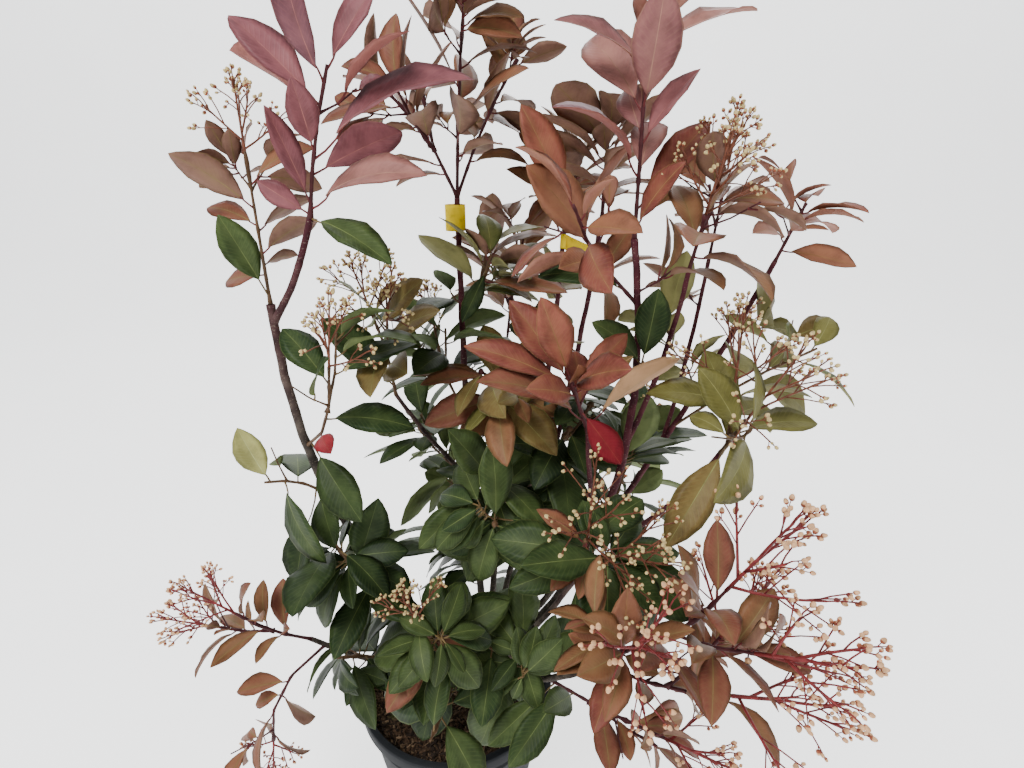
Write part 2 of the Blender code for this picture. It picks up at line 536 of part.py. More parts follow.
def grow_head(rng, space, shoot, point, heading, size):
    """A flower head: an axis with rays in a spiral, the lower ones longer, so that its top is flat."""
    axis = [point - heading * HEAD_SINK, point + heading * size * AXIS_SHARE]
    space.take(tube(axis, AXIS_RADII), shoot.name + " twigs")
    rays = []
    turn = rng.uniform(0, 2 * math.pi)
    for i in range(RAYS + 1):
        share = 0.12 + 0.83 * i / RAYS
        foot = axis[0].lerp(axis[1], share)
        side = beside(heading, turn + i * LEAF_TURN)
        lean = math.radians(62 - 52 * share) * (i < RAYS)
        out = heading * math.cos(lean) + side * math.sin(lean)
        reach = size * (0.78 - 0.28 * share) * rng.uniform(0.9, 1.1)
        ray = Ray(foot, foot + out * reach, size * CLUMP_SHARE)
        if space.free(ray_shape(ray._replace(foot=foot.lerp(ray.top, 0.2))), (shoot.name + " twigs",)):
            space.take(ray_shape(ray), shoot.name)
            rays.append(ray)
    return axis, rays


def limb_lines():
    """The line and radii of the trunk and of every limb from its parent's middle to its tip."""
    rise = bowed(TRUNK_FOOT + UP * TRUNK_FLARE, TRUNK_TOP, 0, len(TRUNK_RADII) - 2)
    lines = {"trunk": ([TRUNK_FOOT] + rise, TRUNK_RADII)}
    for limb in LIMBS:
        foot, _ = along(lines[limb.parent][0], limb.at)
        line = bowed(foot, limb.tip, limb.bow, LIMB_STEPS)
        lines[limb.name] = (line, tapered(limb.foot_radius, limb.tip_radius, 0, LIMB_STEPS + 1))
    return lines


def fork_ends(lines):
    """The share of each stem that belongs to the trunk's fork: up to where it stands clear of the others."""
    stems = [limb for limb in LIMBS if limb.parent == "trunk"]
    ends = {}
    for stem in stems:
        others = [lines[other.name] for other in stems if other != stem] + [lines["trunk"]]
        ends[stem.name] = clear_share(lines[stem.name][0], stem.foot_radius, others)
    return ends


def shoot_stems(lines, trees):
    """The stem of every shoot, which starts a gap clear of the solids that stand already."""
    stems = {}
    for shoot in SHOOTS:
        foot, _ = along(lines[shoot.parent][0], shoot.at)
        line = bowed(foot, shoot.tip, shoot.bow, SHOOT_STEPS)
        start = seated_share(line, *SHOOT_RADII, SHOOT_STEPS, trees)
        stem = cut_from(line, start, SHOOT_STEPS)
        stems[shoot.name] = stem, tapered(*SHOOT_RADII, start, SHOOT_STEPS + 1)
        trees.append(BVHTree.FromPolygons(*tube(*stems[shoot.name])))
    return stems


def grow(space, stems):
    """The stem, twigs, leaves, flower axes and rays of every mass."""
    for name, (stem, radii) in stems.items():
        space.take(tube(stem, radii), name + " twigs")
    masses = {}
    for number, shoot in enumerate(SHOOTS):
        rng = random.Random(number)
        stem, radii = stems[shoot.name]
        twigs, heads = [], []
        length = sum((b - a).length for a, b in zip(stem, stem[1:]))
        for k in range(shoot.twigs):
            point, heading = along(stem, rng.uniform(*TWIG_STRETCH))
            side = beside(heading, math.radians(shoot.turn + 100 + 150 * k))
            out = (heading * 0.8 + side * 0.7 + UP * 0.2).normalized()
            reach = max(TWIG_REACH[0], length * TWIG_REACH[1])
            twig = bowed(point, point + out * reach, TWIG_BOW, 2)
            if space.free(tube(twig, [TWIG_ROOM] * 3), (shoot.name + " twigs",)):
                space.take(tube(twig, TWIG_RADII), shoot.name + " twigs")
                twigs.append(twig)
        ends = [along(branch, 1) for branch in [stem] + twigs]
        for k, (point, heading) in enumerate(ends[:shoot.heads]):
            heads.append(grow_head(rng, space, shoot, point, heading, shoot.head * (1 - 0.12 * k)))
        masses[shoot.name] = [shoot, rng, stem, radii, twigs, heads]
    leads = {name: grow_leads(space, name, mass[2]) for name, mass in masses.items()}
    for name, mass in masses.items():
        shoot, rng, stem, radii, twigs, heads = mass
        turn = math.radians(shoot.turn)
        first = TIP_START if shoot.at == 1 else SIDE_START
        leaves = leads[name]
        leaves += grow_leaves(rng, space, shoot, stem, shoot.leaves - TWIG_LEAVES * shoot.twigs, first, turn)
        for k, twig in enumerate(twigs):
            leaves += grow_leaves(rng, space, shoot, twig, TWIG_LEAVES, TWIG_START, turn + 2 * k)
        mass.append(leaves)
    return masses


# Making the solids

def remove_everything():
    for thing in list(bpy.data.objects):
        bpy.data.objects.remove(thing, do_unlink=True)


def new_collection(name):
    collection = bpy.data.collections.new(name)
    bpy.context.scene.collection.children.link(collection)
    return collection


def new_material(name, color, roughness):
    material = bpy.data.materials.new(name)
    material.use_nodes = True
    shader = material.node_tree.nodes["Principled BSDF"]
    shader.inputs["Base Color"].default_value = (*color, 1)
    shader.inputs["Roughness"].default_value = roughness
    return material


def add_object(name, mesh, collection, material=None):
    thing = bpy.data.objects.new(name, mesh)
    collection.objects.link(thing)
    if material:
        mesh.materials.append(material)
    return thing


def shape_object(name, shape, collection, material=None):
    mesh = bpy.data.meshes.new(name)
    mesh.from_pydata(shape[0], [], shape[1])
    return add_object(name, mesh, collection, material)


def curve_mesh(name, line, radii, sides_step):
    """A limb's curve with a bevel and filled caps, made a mesh with its caps welded on."""
    curve = bpy.data.curves.new(name, "CURVE")
    curve.dimensions = "3D"
    curve.bevel_depth = 1
    curve.bevel_resolution = sides_step
    curve.use_fill_caps = True
    spline = curve.splines.new("POLY")
    spline.points.add(len(line) - 1)
    for place, point, radius in zip(spline.points, line, radii):
        place.co = (*point, 1)
        place.radius = radius
    holder = add_object(name, curve, bpy.context.scene.collection)
    bpy.context.view_layer.update()
    mesh = bpy.data.meshes.new_from_object(holder.evaluated_get(bpy.context.evaluated_depsgraph_get()))
    bpy.data.objects.remove(holder)
    work = bmesh.new()
    work.from_mesh(mesh)
    bmesh.ops.remove_doubles(work, verts=work.verts, dist=1e-6)
    bmesh.ops.recalc_face_normals(work, faces=work.faces)
    work.to_mesh(mesh)
    work.free()
    mesh.shade_smooth()
    mesh.set_sharp_from_angle(angle=math.radians(50))
    return mesh


def mesh_tree(mesh):
    points = [vertex.co for vertex in mesh.vertices]
    return BVHTree.FromPolygons(points, [tuple(face.vertices) for face in mesh.polygons])


def main_island(mesh):
    """Keep the largest closed island: a scrap is dropped, and a sealed hollow is filled."""
    work = bmesh.new()
    work.from_mesh(mesh)
    left = set(work.faces)
    islands = []
    while left:
        front = [left.pop()]
        island = list(front)
        while front:
            for edge in front.pop().edges:
                for face in edge.link_faces:
                    if face in left:
                        left.remove(face)
                        front.append(face)
                        island.append(face)
        islands.append(island)
    islands.sort(key=len)
    scraps = [face for island in islands[:-1] for face in island]
    bmesh.ops.delete(work, geom=scraps, context="FACES")
    work.to_mesh(mesh)
    work.free()


def fuse(thing, extras, solver="MANIFOLD"):
    """Join the extras to a thing by one union on their collection, and remove them."""
    union = thing.modifiers.new("union", "BOOLEAN")
    union.operation = "UNION"
    union.solver = solver
    union.operand_type = "COLLECTION"
    union.collection = extras
    bpy.context.view_layer.update()
    mesh = bpy.data.meshes.new_from_object(thing.evaluated_get(bpy.context.evaluated_depsgraph_get()))
    thing.modifiers.clear()
    thing.data = mesh
    for extra in list(extras.objects):
        bpy.data.objects.remove(extra)
    bpy.data.collections.remove(extras)
    main_island(mesh)


def turned(name, profile, collection, material):
    """A profile of radii and heights turned round the Z axis."""
    mesh = bpy.data.meshes.new(name)
    edges = [(i, i + 1) for i in range(len(profile) - 1)]
    mesh.from_pydata([(radius, 0, height) for radius, height in profile], edges, [])
    thing = add_object(name, mesh, collection, material)
    screw = thing.modifiers.new("turn", "SCREW")
    screw.steps = POT_STEPS
    screw.render_steps = POT_STEPS
    screw.use_merge_vertices = True
    screw.merge_threshold = 0.0001
    return thing


def inner_radius(height):
    """The pot's inside radius at a height below its rim."""
    share = height / (POT_HEIGHT - RIM_DEPTH)
    return FOOT_RADIUS + (SHOULDER_RADIUS - FOOT_RADIUS) * share - POT_WALL


def make_pot(collection, cutters, material):
    """A thin tapering pot with a rolled rim and a ring of drainage holes in its floor."""
    shoulder = POT_HEIGHT - RIM_DEPTH
    inside = RIM_RADIUS - RIM_WIDTH
    profile = (
        (0, POT_FLOOR),
        (inner_radius(POT_FLOOR), POT_FLOOR),
        (inner_radius(shoulder), shoulder),
        (inside, POT_HEIGHT - 0.004),
        (inside + 0.003, POT_HEIGHT),
        (RIM_RADIUS - 0.003, POT_HEIGHT),
        (RIM_RADIUS, POT_HEIGHT - 0.004),
        (RIM_RADIUS - 0.001, shoulder + 0.002),
        (SHOULDER_RADIUS, shoulder),
        (FOOT_RADIUS + 0.001, 0.004),
        (FOOT_RADIUS - 0.003, 0),
        (0, 0),
    )
    pot = turned("pot", profile, collection, material)
    for k in range(HOLE_COUNT):
        turn = 2 * math.pi * (k + 0.5) / HOLE_COUNT
        bpy.ops.mesh.primitive_cylinder_add(vertices=8, radius=HOLE_RADIUS, depth=4 * POT_FLOOR)
        hole = bpy.context.object
        hole.name = f"pot_hole_{k + 1}"
        hole.location = (HOLE_RING * math.cos(turn), HOLE_RING * math.sin(turn), POT_FLOOR / 2)
        hole.hide_render = True
        hole.display_type = "WIRE"
        for owner in list(hole.users_collection):
            owner.objects.unlink(hole)
        cutters.objects.link(hole)
        cut = pot.modifiers.new(f"hole {k + 1}", "BOOLEAN")
        cut.operation = "DIFFERENCE"
        cut.object = hole
    return pot


def make_mix(collection, material):
    """The potting mix, which fills the pot to a little below its rim."""
    floor = POT_FLOOR + GAP
    profile = (
        (0, MIX_TOP),
        (inner_radius(MIX_TOP) - GAP, MIX_TOP),
        (inner_radius(floor) - GAP, floor),
        (0, floor),
    )
    return turned("potting_mix", profile, collection, material)


def make_trunk(lines, ends, collection, material):
    """The flared trunk, joined to the first stretch of each stem of its fork."""
    line, radii = lines["trunk"]
    trunk = add_object("trunk", curve_mesh("trunk", line, radii, 3), collection, material)
    stubs = new_collection("fork")
    for limb in LIMBS:
        if limb.parent != "trunk":
            continue
        line, radii = lines[limb.name]
        length = sum((b - a).length for a, b in zip(line, line[1:]))
        end = ends[limb.name] - GAP / length
        stub = [along(line, end * i / STUB_STEPS)[0] for i in range(STUB_STEPS + 1)]
        shrink = (limb.foot_radius - limb.tip_radius) * end / STUB_STEPS
        stub_radii = [limb.foot_radius - shrink * i for i in range(STUB_STEPS + 1)]
        add_object(limb.name + " stub", curve_mesh("stub", stub, stub_radii, 1), stubs)
    fuse(trunk, stubs, "EXACT")
    return trunk


def make_limbs(lines, ends, trees, collection, material):
    """The stems, each from its end of the fork, and the boughs, each from a gap off its stem."""
    for limb in LIMBS:
        line, _ = lines[limb.name]
        start = ends.get(limb.name)
        if start is None:
            parent = [trees[limb.parent]]
            start = seated_share(line, limb.foot_radius, limb.tip_radius, LIMB_STEPS, parent)
        stretch = cut_from(line, start, LIMB_STEPS)
        radii = tapered(limb.foot_radius, limb.tip_radius, start, LIMB_STEPS + 1)
        bough = add_object(limb.name, curve_mesh(limb.name, stretch, radii, 1), collection, material)
        trees[limb.name] = mesh_tree(bough.data)


def make_mass(mass, collection, materials):
    """One mass: its stem, joined to its twigs, its leaves and its flower heads."""
    shoot, _, stem, radii, twigs, heads, leaves = mass
    thing = shape_object(shoot.name, tube(stem, radii), collection, materials[shoot.tint])
    extras = new_collection(shoot.name + " extras")
    for twig in twigs:
        shape_object("twig", tube(twig, TWIG_RADII), extras)
    for axis, rays in heads:
        shape_object("axis", tube(axis, AXIS_RADII), extras)
        for ray in rays:
            shape_object("ray", ray_shape(ray), extras)
    for leaf in leaves:
        shape_object("leaf", leaf_shape(leaf), extras)
    fuse(thing, extras)


def tag_place(tag, lines):
    """A tag's middle on its limb, the limb's heading there, the band's inner radius and its sides."""
    line, radii = lines[tag.limb]
    point, heading = along(line, tag.at)
    side = beside(heading, math.radians(tag.turn))
    return point, heading, radii[-1] + 2 * GAP, side, heading.cross(side)


def make_tag(tag, lines, collection, material):
    """A plain tag: a band round its limb with a flat tail fused to it."""
    point, heading, around, side, across = tag_place(tag, lines)
    frame = Matrix((across, -side, heading)).transposed().to_4x4()
    frame.translation = point
    bpy.ops.mesh.primitive_cylinder_add(vertices=8, radius=around + TAG_WALL, depth=tag.height)
    band = bpy.context.object
    band.name = tag.name
    for owner in list(band.users_collection):
        owner.objects.unlink(band)
    collection.objects.link(band)
    band.data.materials.append(material)
    band.data.transform(frame)
    extras = new_collection(tag.name + " extras")
    bpy.ops.mesh.primitive_cube_add(size=1)
    tail = bpy.context.object
    for owner in list(tail.users_collection):
        owner.objects.unlink(tail)
    extras.objects.link(tail)
    tilt = Matrix.Rotation(math.radians(tag.tilt), 4, "Y")
    place = Matrix.Translation((tag.width * tag.reach, around + TAG_WALL / 2, 0))
    size = Matrix.Diagonal((tag.width, TAG_THICKNESS, tag.height * TAIL_HEIGHT, 1))
    tail.data.transform(frame @ tilt @ place @ size)
    fuse(band, extras, "EXACT")
    bpy.ops.mesh.primitive_cylinder_add(vertices=8, radius=around, depth=tag.height * 3)
    bore = bpy.context.object
    bore.name = tag.name + " bore"
    bore.data.transform(frame)
    cut = band.modifiers.new("bore", "BOOLEAN")
    cut.operation = "DIFFERENCE"
    cut.object = bore
    bpy.context.view_layer.update()
    mesh = bpy.data.meshes.new_from_object(band.evaluated_get(bpy.context.evaluated_depsgraph_get()))
    band.modifiers.clear()
    band.data = mesh
    bpy.data.objects.remove(bore)


def tag_space(tag, lines):
    """The room that a tag takes in the crown."""
    point, heading, around, side, across = tag_place(tag, lines)
    tilt = math.radians(tag.tilt)
    tail = across * math.cos(tilt) - heading * math.sin(tilt)
    middle = point - side * around + tail * (tag.width * tag.reach)
    half = tail * (tag.width / 2 + around)
    return tube([middle - half, middle + half], (tag.height * TAG_ROOM, tag.height * TAG_ROOM), 6)


def build():
    remove_everything()
    plant = new_collection("potted photinia")
    cutters = new_collection("cutters")
    bark = new_material("bark", (0.105, 0.062, 0.052), 0.75)
    plastic = new_material("pot plastic", (0.045, 0.052, 0.062), 0.55)
    mulch = new_material("potting mix", (0.060, 0.040, 0.026), 0.95)
    yellow = new_material("tag plastic", (0.80, 0.60, 0.03), 0.5)
    tints = {
        "wine": new_material("wine leaves", (0.220, 0.072, 0.076), 0.4),
        "rose": new_material("rose leaves", (0.290, 0.120, 0.096), 0.4),
        "coral": new_material("coral leaves", (0.250, 0.100, 0.058), 0.4),
        "bronze": new_material("bronze leaves", (0.170, 0.090, 0.048), 0.4),
        "olive": new_material("olive leaves", (0.125, 0.105, 0.034), 0.4),
        "green": new_material("green leaves", (0.060, 0.084, 0.030), 0.4),
        "deep": new_material("deep green leaves", (0.030, 0.048, 0.018), 0.4),
    }
    lines = limb_lines()
    ends = fork_ends(lines)
    space = Space()
    for name, (line, radii) in lines.items():
        space.take(tube(line, [radius + GAP for radius in radii], 6), name)
    space.take(tube([Vector((0, 0, 0)), Vector((0, 0, POT_HEIGHT + 0.002))],
                    (FOOT_RADIUS + 0.002, RIM_RADIUS + 0.002), POT_STEPS), "pot")
    for tag in TAGS:
        space.take(tag_space(tag, lines), tag.name)
    make_pot(plant, cutters, plastic)
    make_mix(plant, mulch)
    trees = {"trunk": mesh_tree(make_trunk(lines, ends, plant, bark).data)}
    make_limbs(lines, ends, trees, plant, bark)
    for tag in TAGS:
        make_tag(tag, lines, plant, yellow)
    stems = shoot_stems(lines, list(trees.values()))
    for mass in grow(space, stems).values():
        make_mass(mass, plant, tints)


build()
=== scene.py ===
# %% [markdown]
# # The looks of a potted photinia
#
# The frame holds the plain solids of a bushy patio shrub in a nursery pot: a pot, its mix, a short
# trunk, stems and boughs, and masses of leaves. This lesson dresses them. The leaves, twigs and flower
# heads grow again by the rule that made the solids, so each one stands where its solid stands, and the
# rule is then carried on to finer twigs and smaller leaves.

# %% The frame and the tools
import json
import math
import random
from collections import namedtuple

import bmesh
import bpy
import numpy as np
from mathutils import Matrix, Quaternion, Vector, noise
from mathutils.bvhtree import BVHTree

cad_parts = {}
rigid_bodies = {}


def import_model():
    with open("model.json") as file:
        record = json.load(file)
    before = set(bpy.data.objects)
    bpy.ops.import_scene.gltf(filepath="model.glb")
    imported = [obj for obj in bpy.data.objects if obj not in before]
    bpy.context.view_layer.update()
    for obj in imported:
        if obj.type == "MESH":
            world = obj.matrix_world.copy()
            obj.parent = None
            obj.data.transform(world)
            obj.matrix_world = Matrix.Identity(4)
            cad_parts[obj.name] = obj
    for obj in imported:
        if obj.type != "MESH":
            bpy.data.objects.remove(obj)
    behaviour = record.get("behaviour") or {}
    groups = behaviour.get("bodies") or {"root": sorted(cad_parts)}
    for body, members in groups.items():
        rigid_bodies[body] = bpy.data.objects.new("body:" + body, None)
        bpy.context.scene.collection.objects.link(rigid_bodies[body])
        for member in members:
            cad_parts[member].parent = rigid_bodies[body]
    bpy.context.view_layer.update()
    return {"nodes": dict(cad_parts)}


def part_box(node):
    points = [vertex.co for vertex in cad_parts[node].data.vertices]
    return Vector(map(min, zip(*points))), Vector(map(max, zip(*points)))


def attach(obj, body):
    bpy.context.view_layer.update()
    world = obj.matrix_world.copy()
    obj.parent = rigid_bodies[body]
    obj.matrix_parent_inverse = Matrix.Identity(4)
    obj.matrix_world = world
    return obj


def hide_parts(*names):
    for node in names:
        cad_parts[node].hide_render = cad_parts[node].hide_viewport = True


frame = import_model()
print("nodes in the frame:", len(frame["nodes"]))

# %% [markdown]
# ## The camera and the light
#
# The photograph was taken from close by, a little above the plant's middle, looking down into the pot.
# A short lens gives the same strong perspective. The light is soft, as on a bright grey day: a pale sky
# all round, a large lamp above on the left, a weaker one on the right, and one behind that brightens
# the edges of the crown.

# %% Camera
CAMERA_PLACE = (0.082, -0.602, 0.931)
CAMERA_PITCH = 22
CAMERA_LENS = 19.48
SENSOR_WIDTH = 36
NEAREST_SEEN = 0.02

camera_data = bpy.data.cameras.new("camera")
camera_data.lens = CAMERA_LENS
camera_data.sensor_width = SENSOR_WIDTH
camera_data.clip_start = NEAREST_SEEN
camera = bpy.data.objects.new("camera", camera_data)
camera.location = CAMERA_PLACE
camera.rotation_euler = (math.radians(90 - CAMERA_PITCH), 0, 0)
bpy.context.scene.collection.objects.link(camera)
bpy.context.scene.camera = camera

# %% Lamps and sky
Lamp = namedtuple("Lamp", "name place width power")
LAMPS = (
    Lamp("key lamp", (-0.9, -1.3, 2.7), 1.3, 78),
    Lamp("fill lamp", (2.2, -1.2, 1.7), 1.8, 22),
    Lamp("back lamp", (0.4, 2.4, 2.2), 1.8, 30),
)
PLANT_MIDDLE = Vector((0.05, 0.0, 0.6))
SKY_COLOR = (0.90, 0.94, 1.0)
SKY_STRENGTH = 0.62

for lamp in LAMPS:
    light = bpy.data.lights.new(lamp.name, "AREA")
    light.shape = "DISK"
    light.size = lamp.width
    light.energy = lamp.power
    holder = bpy.data.objects.new(lamp.name, light)
    holder.location = lamp.place
    holder.rotation_euler = (PLANT_MIDDLE - Vector(lamp.place)).to_track_quat("-Z", "Y").to_euler()
    bpy.context.scene.collection.objects.link(holder)

world = bpy.data.worlds.new("pale sky")
world.use_nodes = True
sky = world.node_tree.nodes["Background"]
sky.inputs["Color"].default_value = (*SKY_COLOR, 1)
sky.inputs["Strength"].default_value = SKY_STRENGTH
bpy.context.scene.world = world
print("lamps:", len(LAMPS), "with", sum(lamp.power for lamp in LAMPS), "W in all")

# %% [markdown]
# ## The driving dimensions
#
# These are the named sizes that the solids were made from: the pot, the trunk, one row for each stem
# and bough, and one row for each shoot that carries a mass of leaves. The rule works every leaf out
# from them. They are in metres, and angles are in degrees.

# %% Sizes of the pot and the trunk
GAP = 0.0003
UP = Vector((0, 0, 1))
RIGHT = Vector((1, 0, 0))

# The pot and what fills it
POT_HEIGHT = 0.225
RIM_RADIUS = 0.140
RIM_WIDTH = 0.010
RIM_DEPTH = 0.024
SHOULDER_RADIUS = 0.1325
FOOT_RADIUS = 0.104
POT_WALL = 0.0030
POT_FLOOR = 0.0040
POT_STEPS = 24
HOLE_RADIUS = 0.006
HOLE_RING = 0.066
HOLE_COUNT = 5
MIX_TOP = 0.192

# The trunk, from its flat cut on the mix to its fork
TRUNK_FOOT = Vector((0.040, -0.004, MIX_TOP + GAP))
TRUNK_TOP = Vector((0.046, 0.000, 0.258))
TRUNK_FLARE = 0.010
TRUNK_RADII = (0.0240, 0.0178, 0.0158, 0.0146, 0.0136, 0.0126)

# %% [markdown]
# A limb runs from a share of its parent's length to its tip. Its bow lifts its middle off the
# straight line, up when positive.

# %% Table of limbs
Limb = namedtuple("Limb", "name parent at tip bow foot_radius tip_radius")
LIMBS = [Limb(*row) for row in (
    ("stem_left", "trunk", 0.80, (-0.172, -0.030, 0.790), -0.062, 0.0066, 0.0046),
    ("stem_centre", "trunk", 0.98, (0.017, 0.090, 0.890), -0.028, 0.0054, 0.0034),
    ("stem_back_right", "trunk", 0.95, (0.150, 0.138, 0.855), -0.030, 0.0045, 0.0030),
    ("stem_middle", "trunk", 0.97, (0.187, 0.070, 0.870), -0.020, 0.0042, 0.0028),
    ("stem_right", "trunk", 0.85, (0.201, -0.050, 0.860), -0.075, 0.0058, 0.0034),
    ("stem_far_right", "trunk", 0.72, (0.392, 0.058, 0.820), -0.022, 0.0048, 0.0030),
    ("stem_front_right", "trunk", 0.62, (0.192, -0.200, 0.490), -0.020, 0.0048, 0.0032),
    ("stem_front", "trunk", 0.90, (0.160, -0.115, 0.520), -0.012, 0.0040, 0.0028),
    ("stem_low_left", "trunk", 0.55, (-0.176, -0.064, 0.360), -0.016, 0.0045, 0.0030),
    ("stem_back", "trunk", 0.90, (0.070, 0.170, 0.640), -0.025, 0.0050, 0.0033),
    ("bough_left_leader", "stem_left", 0.97, (-0.108, -0.060, 0.880), -0.006, 0.0038, 0.0032),
    ("bough_inner_left", "stem_centre", 0.42, (-0.060, 0.022, 0.665), -0.004, 0.0034, 0.0025),
    ("bough_coral", "stem_right", 0.46, (0.160, -0.092, 0.672), -0.006, 0.0032, 0.0025),
    ("bough_right_flower", "stem_right", 0.66, (0.256, -0.055, 0.830), -0.006, 0.0030, 0.0024),
    ("bough_far_top", "stem_far_right", 0.62, (0.326, 0.092, 0.820), -0.008, 0.0030, 0.0024),
    ("bough_right_low", "stem_right", 0.42, (0.290, -0.115, 0.660), -0.014, 0.0034, 0.0026),
)]
print("limbs:", len(LIMBS))

# %% [markdown]
# A shoot carries a mass of leaves. Turn is the compass turn of its lowest leaf in degrees, from
# the right by way of the back. Heads is its number of flower heads, and head their width. Lean is
# how far its lowest leaves lean away from it, and twist how far a blade may turn, in degrees.

# %% Table of shoots
COLUMNS = "name parent at tip bow leaves leaf tint twigs heads head turn lean twist"
Shoot = namedtuple("Shoot", COLUMNS, defaults=(66, 32))
SHOOTS = [Shoot(*row) for row in (
    ("leader_left", "bough_left_leader", 1, (-0.072, -0.074, 1.005), 0.004, 3, 0.100,
     "wine", 0, 0, 0, 350, 64, 70),
    ("flower_left", "stem_left", 1, (-0.190, 0.010, 0.940), -0.020, 6, 0.074,
     "olive", 0, 1, 0.066, 150, 70, 50),
    ("flower_left_inner", "stem_left", 0.72, (-0.100, -0.085, 0.740), -0.020, 5, 0.088,
     "green", 1, 1, 0.070, 0),
    ("spray_left_outer", "stem_left", 0.60, (-0.205, -0.050, 0.585), 0.010, 3, 0.094,
     "green", 0, 0, 0, 90, 110, 60),
    ("spray_left_low", "stem_left", 0.36, (-0.120, -0.080, 0.520), -0.010, 6, 0.102,
     "deep", 1, 0, 0, 40, 112),
    ("flower_inner_left", "bough_inner_left", 1, (-0.075, 0.004, 0.770), 0.004, 5, 0.082,
     "olive", 1, 2, 0.070, 200),
    ("leader_centre", "stem_centre", 1, (0.032, 0.112, 1.110), 0.004, 10, 0.092,
     "bronze", 0, 0, 0, 30, 62, 60),
    ("top_centre_left", "stem_centre", 1, (-0.062, 0.060, 1.010), 0.010, 11, 0.082,
     "bronze", 2, 0, 0, 180, 68, 50),
    ("top_centre_right", "stem_centre", 1, (0.088, 0.140, 1.040), 0.006, 9, 0.082,
     "bronze", 1, 0, 0, 0, 68, 60),
    ("spray_centre", "stem_centre", 0.80, (0.058, 0.050, 0.830), -0.010, 10, 0.090, "olive", 1, 0, 0, 0, 75),
    ("spray_centre_low", "stem_centre", 0.56, (-0.020, 0.100, 0.730), -0.010, 10, 0.098,
     "deep", 1, 1, 0.050, 200, 75),
    ("top_back_right", "stem_back_right", 1, (0.166, 0.150, 0.940), 0, 10, 0.090,
     "bronze", 0, 0, 0, 60, 70, 50),
    ("top_middle", "stem_middle", 1, (0.190, 0.080, 0.965), 0, 10, 0.094, "bronze", 0, 0, 0, 240, 70, 50),
    ("leader_right", "stem_right", 1, (0.196, -0.062, 1.045), 0, 3, 0.090, "rose", 0, 0, 0, 10, 60, 60),
    ("coral_upper", "stem_right", 0.90, (0.118, -0.066, 0.925), -0.010, 7, 0.080,
     "coral", 1, 0, 0, 180, 72, 45),
    ("flower_right", "bough_right_flower", 1, (0.258, -0.078, 0.885), 0, 7, 0.082,
     "bronze", 1, 2, 0.072, 320, 80, 50),
    ("top_far", "bough_far_top", 1, (0.336, 0.100, 0.910), 0, 7, 0.080, "bronze", 1, 1, 0.055, 120, 75, 50),
    ("top_far_right", "stem_far_right", 1, (0.420, 0.066, 0.885), 0, 7, 0.080,
     "coral", 0, 0, 0, 330, 75, 50),
    ("spray_far_outer", "stem_far_right", 0.66, (0.425, -0.010, 0.735), 0.006, 7, 0.086,
     "olive", 0, 0, 0, 0, 75, 45),
    ("coral_middle", "bough_coral", 1, (0.136, -0.114, 0.742), 0, 2, 0.080, "coral", 0, 0, 0, 180, 76, 40),
    ("bronze_middle", "stem_back_right", 0.62, (0.045, 0.010, 0.700), -0.006, 12, 0.098,
     "bronze", 1, 0, 0, 200, 80),
    ("flower_right_low", "bough_right_low", 1, (0.300, -0.136, 0.705), 0, 7, 0.080,
     "olive", 2, 2, 0.100, 0, 80),
    ("green_middle", "stem_back_right", 0.36, (0.055, -0.045, 0.590), -0.010, 13, 0.102,
     "green", 1, 0, 0, 180, 105),
    ("green_inner", "stem_middle", 0.42, (0.150, -0.020, 0.640), 0.010, 12, 0.100, "deep", 1, 0, 0, 300, 105),
    ("flower_front", "stem_front", 1, (0.155, -0.160, 0.590), 0, 8, 0.095, "green", 1, 2, 0.095, 210, 100),
    ("flower_near_top", "stem_front_right", 1, (0.262, -0.238, 0.600), -0.010, 6, 0.072,
     "bronze", 1, 2, 0.095, 200),
    ("flower_near_left", "stem_front_right", 0.93, (0.180, -0.262, 0.560), 0, 5, 0.072,
     "bronze", 0, 1, 0.085, 180),
    ("flower_near_right", "stem_front_right", 0.85, (0.280, -0.250, 0.490), -0.010, 6, 0.072,
     "bronze", 1, 2, 0.090, 340),
    ("flower_low_right", "stem_front_right", 0.50, (0.245, -0.205, 0.370), -0.004, 6, 0.078,
     "bronze", 1, 1, 0.070, 200),
    ("flower_low_left", "stem_low_left", 1, (-0.248, -0.092, 0.430), -0.006, 6, 0.062,
     "bronze", 1, 2, 0.075, 90),
    ("flower_hanging", "stem_low_left", 0.92, (-0.220, -0.120, 0.250), 0.030, 5, 0.064,
     "bronze", 0, 1, 0.060, 180),
    ("flower_front_left", "trunk", 0.75, (-0.024, -0.130, 0.460), -0.020, 10, 0.092,
     "green", 1, 1, 0.055, 180, 105),
    ("foot_left", "stem_low_left", 0.45, (-0.140, -0.080, 0.345), 0.010, 5, 0.106, "deep", 0, 0, 0, 90, 105),
    ("foot_front", "trunk", 0.45, (-0.014, -0.095, 0.360), 0.012, 9, 0.102, "deep", 1, 0, 0, 200, 110),
    ("foot_right", "stem_front_right", 0.25, (0.094, -0.112, 0.390), 0.010, 11, 0.100,
     "green", 2, 0, 0, 300, 110),
    ("back_top", "stem_back", 1, (0.090, 0.225, 0.830), 0, 9, 0.094, "bronze", 2, 0, 0, 30, 75),
    ("back_left", "stem_back", 0.55, (-0.080, 0.190, 0.560), -0.020, 8, 0.102, "green", 1, 0, 0, 180, 80),
    ("back_low", "trunk", 0.60, (0.030, 0.150, 0.400), -0.020, 9, 0.104, "deep", 1, 0, 0, 60, 80),
    ("back_right", "stem_far_right", 0.42, (0.270, 0.150, 0.560), -0.020, 9, 0.098,
     "green", 2, 1, 0.060, 20, 80),
)]
print("shoots:", len(SHOOTS))
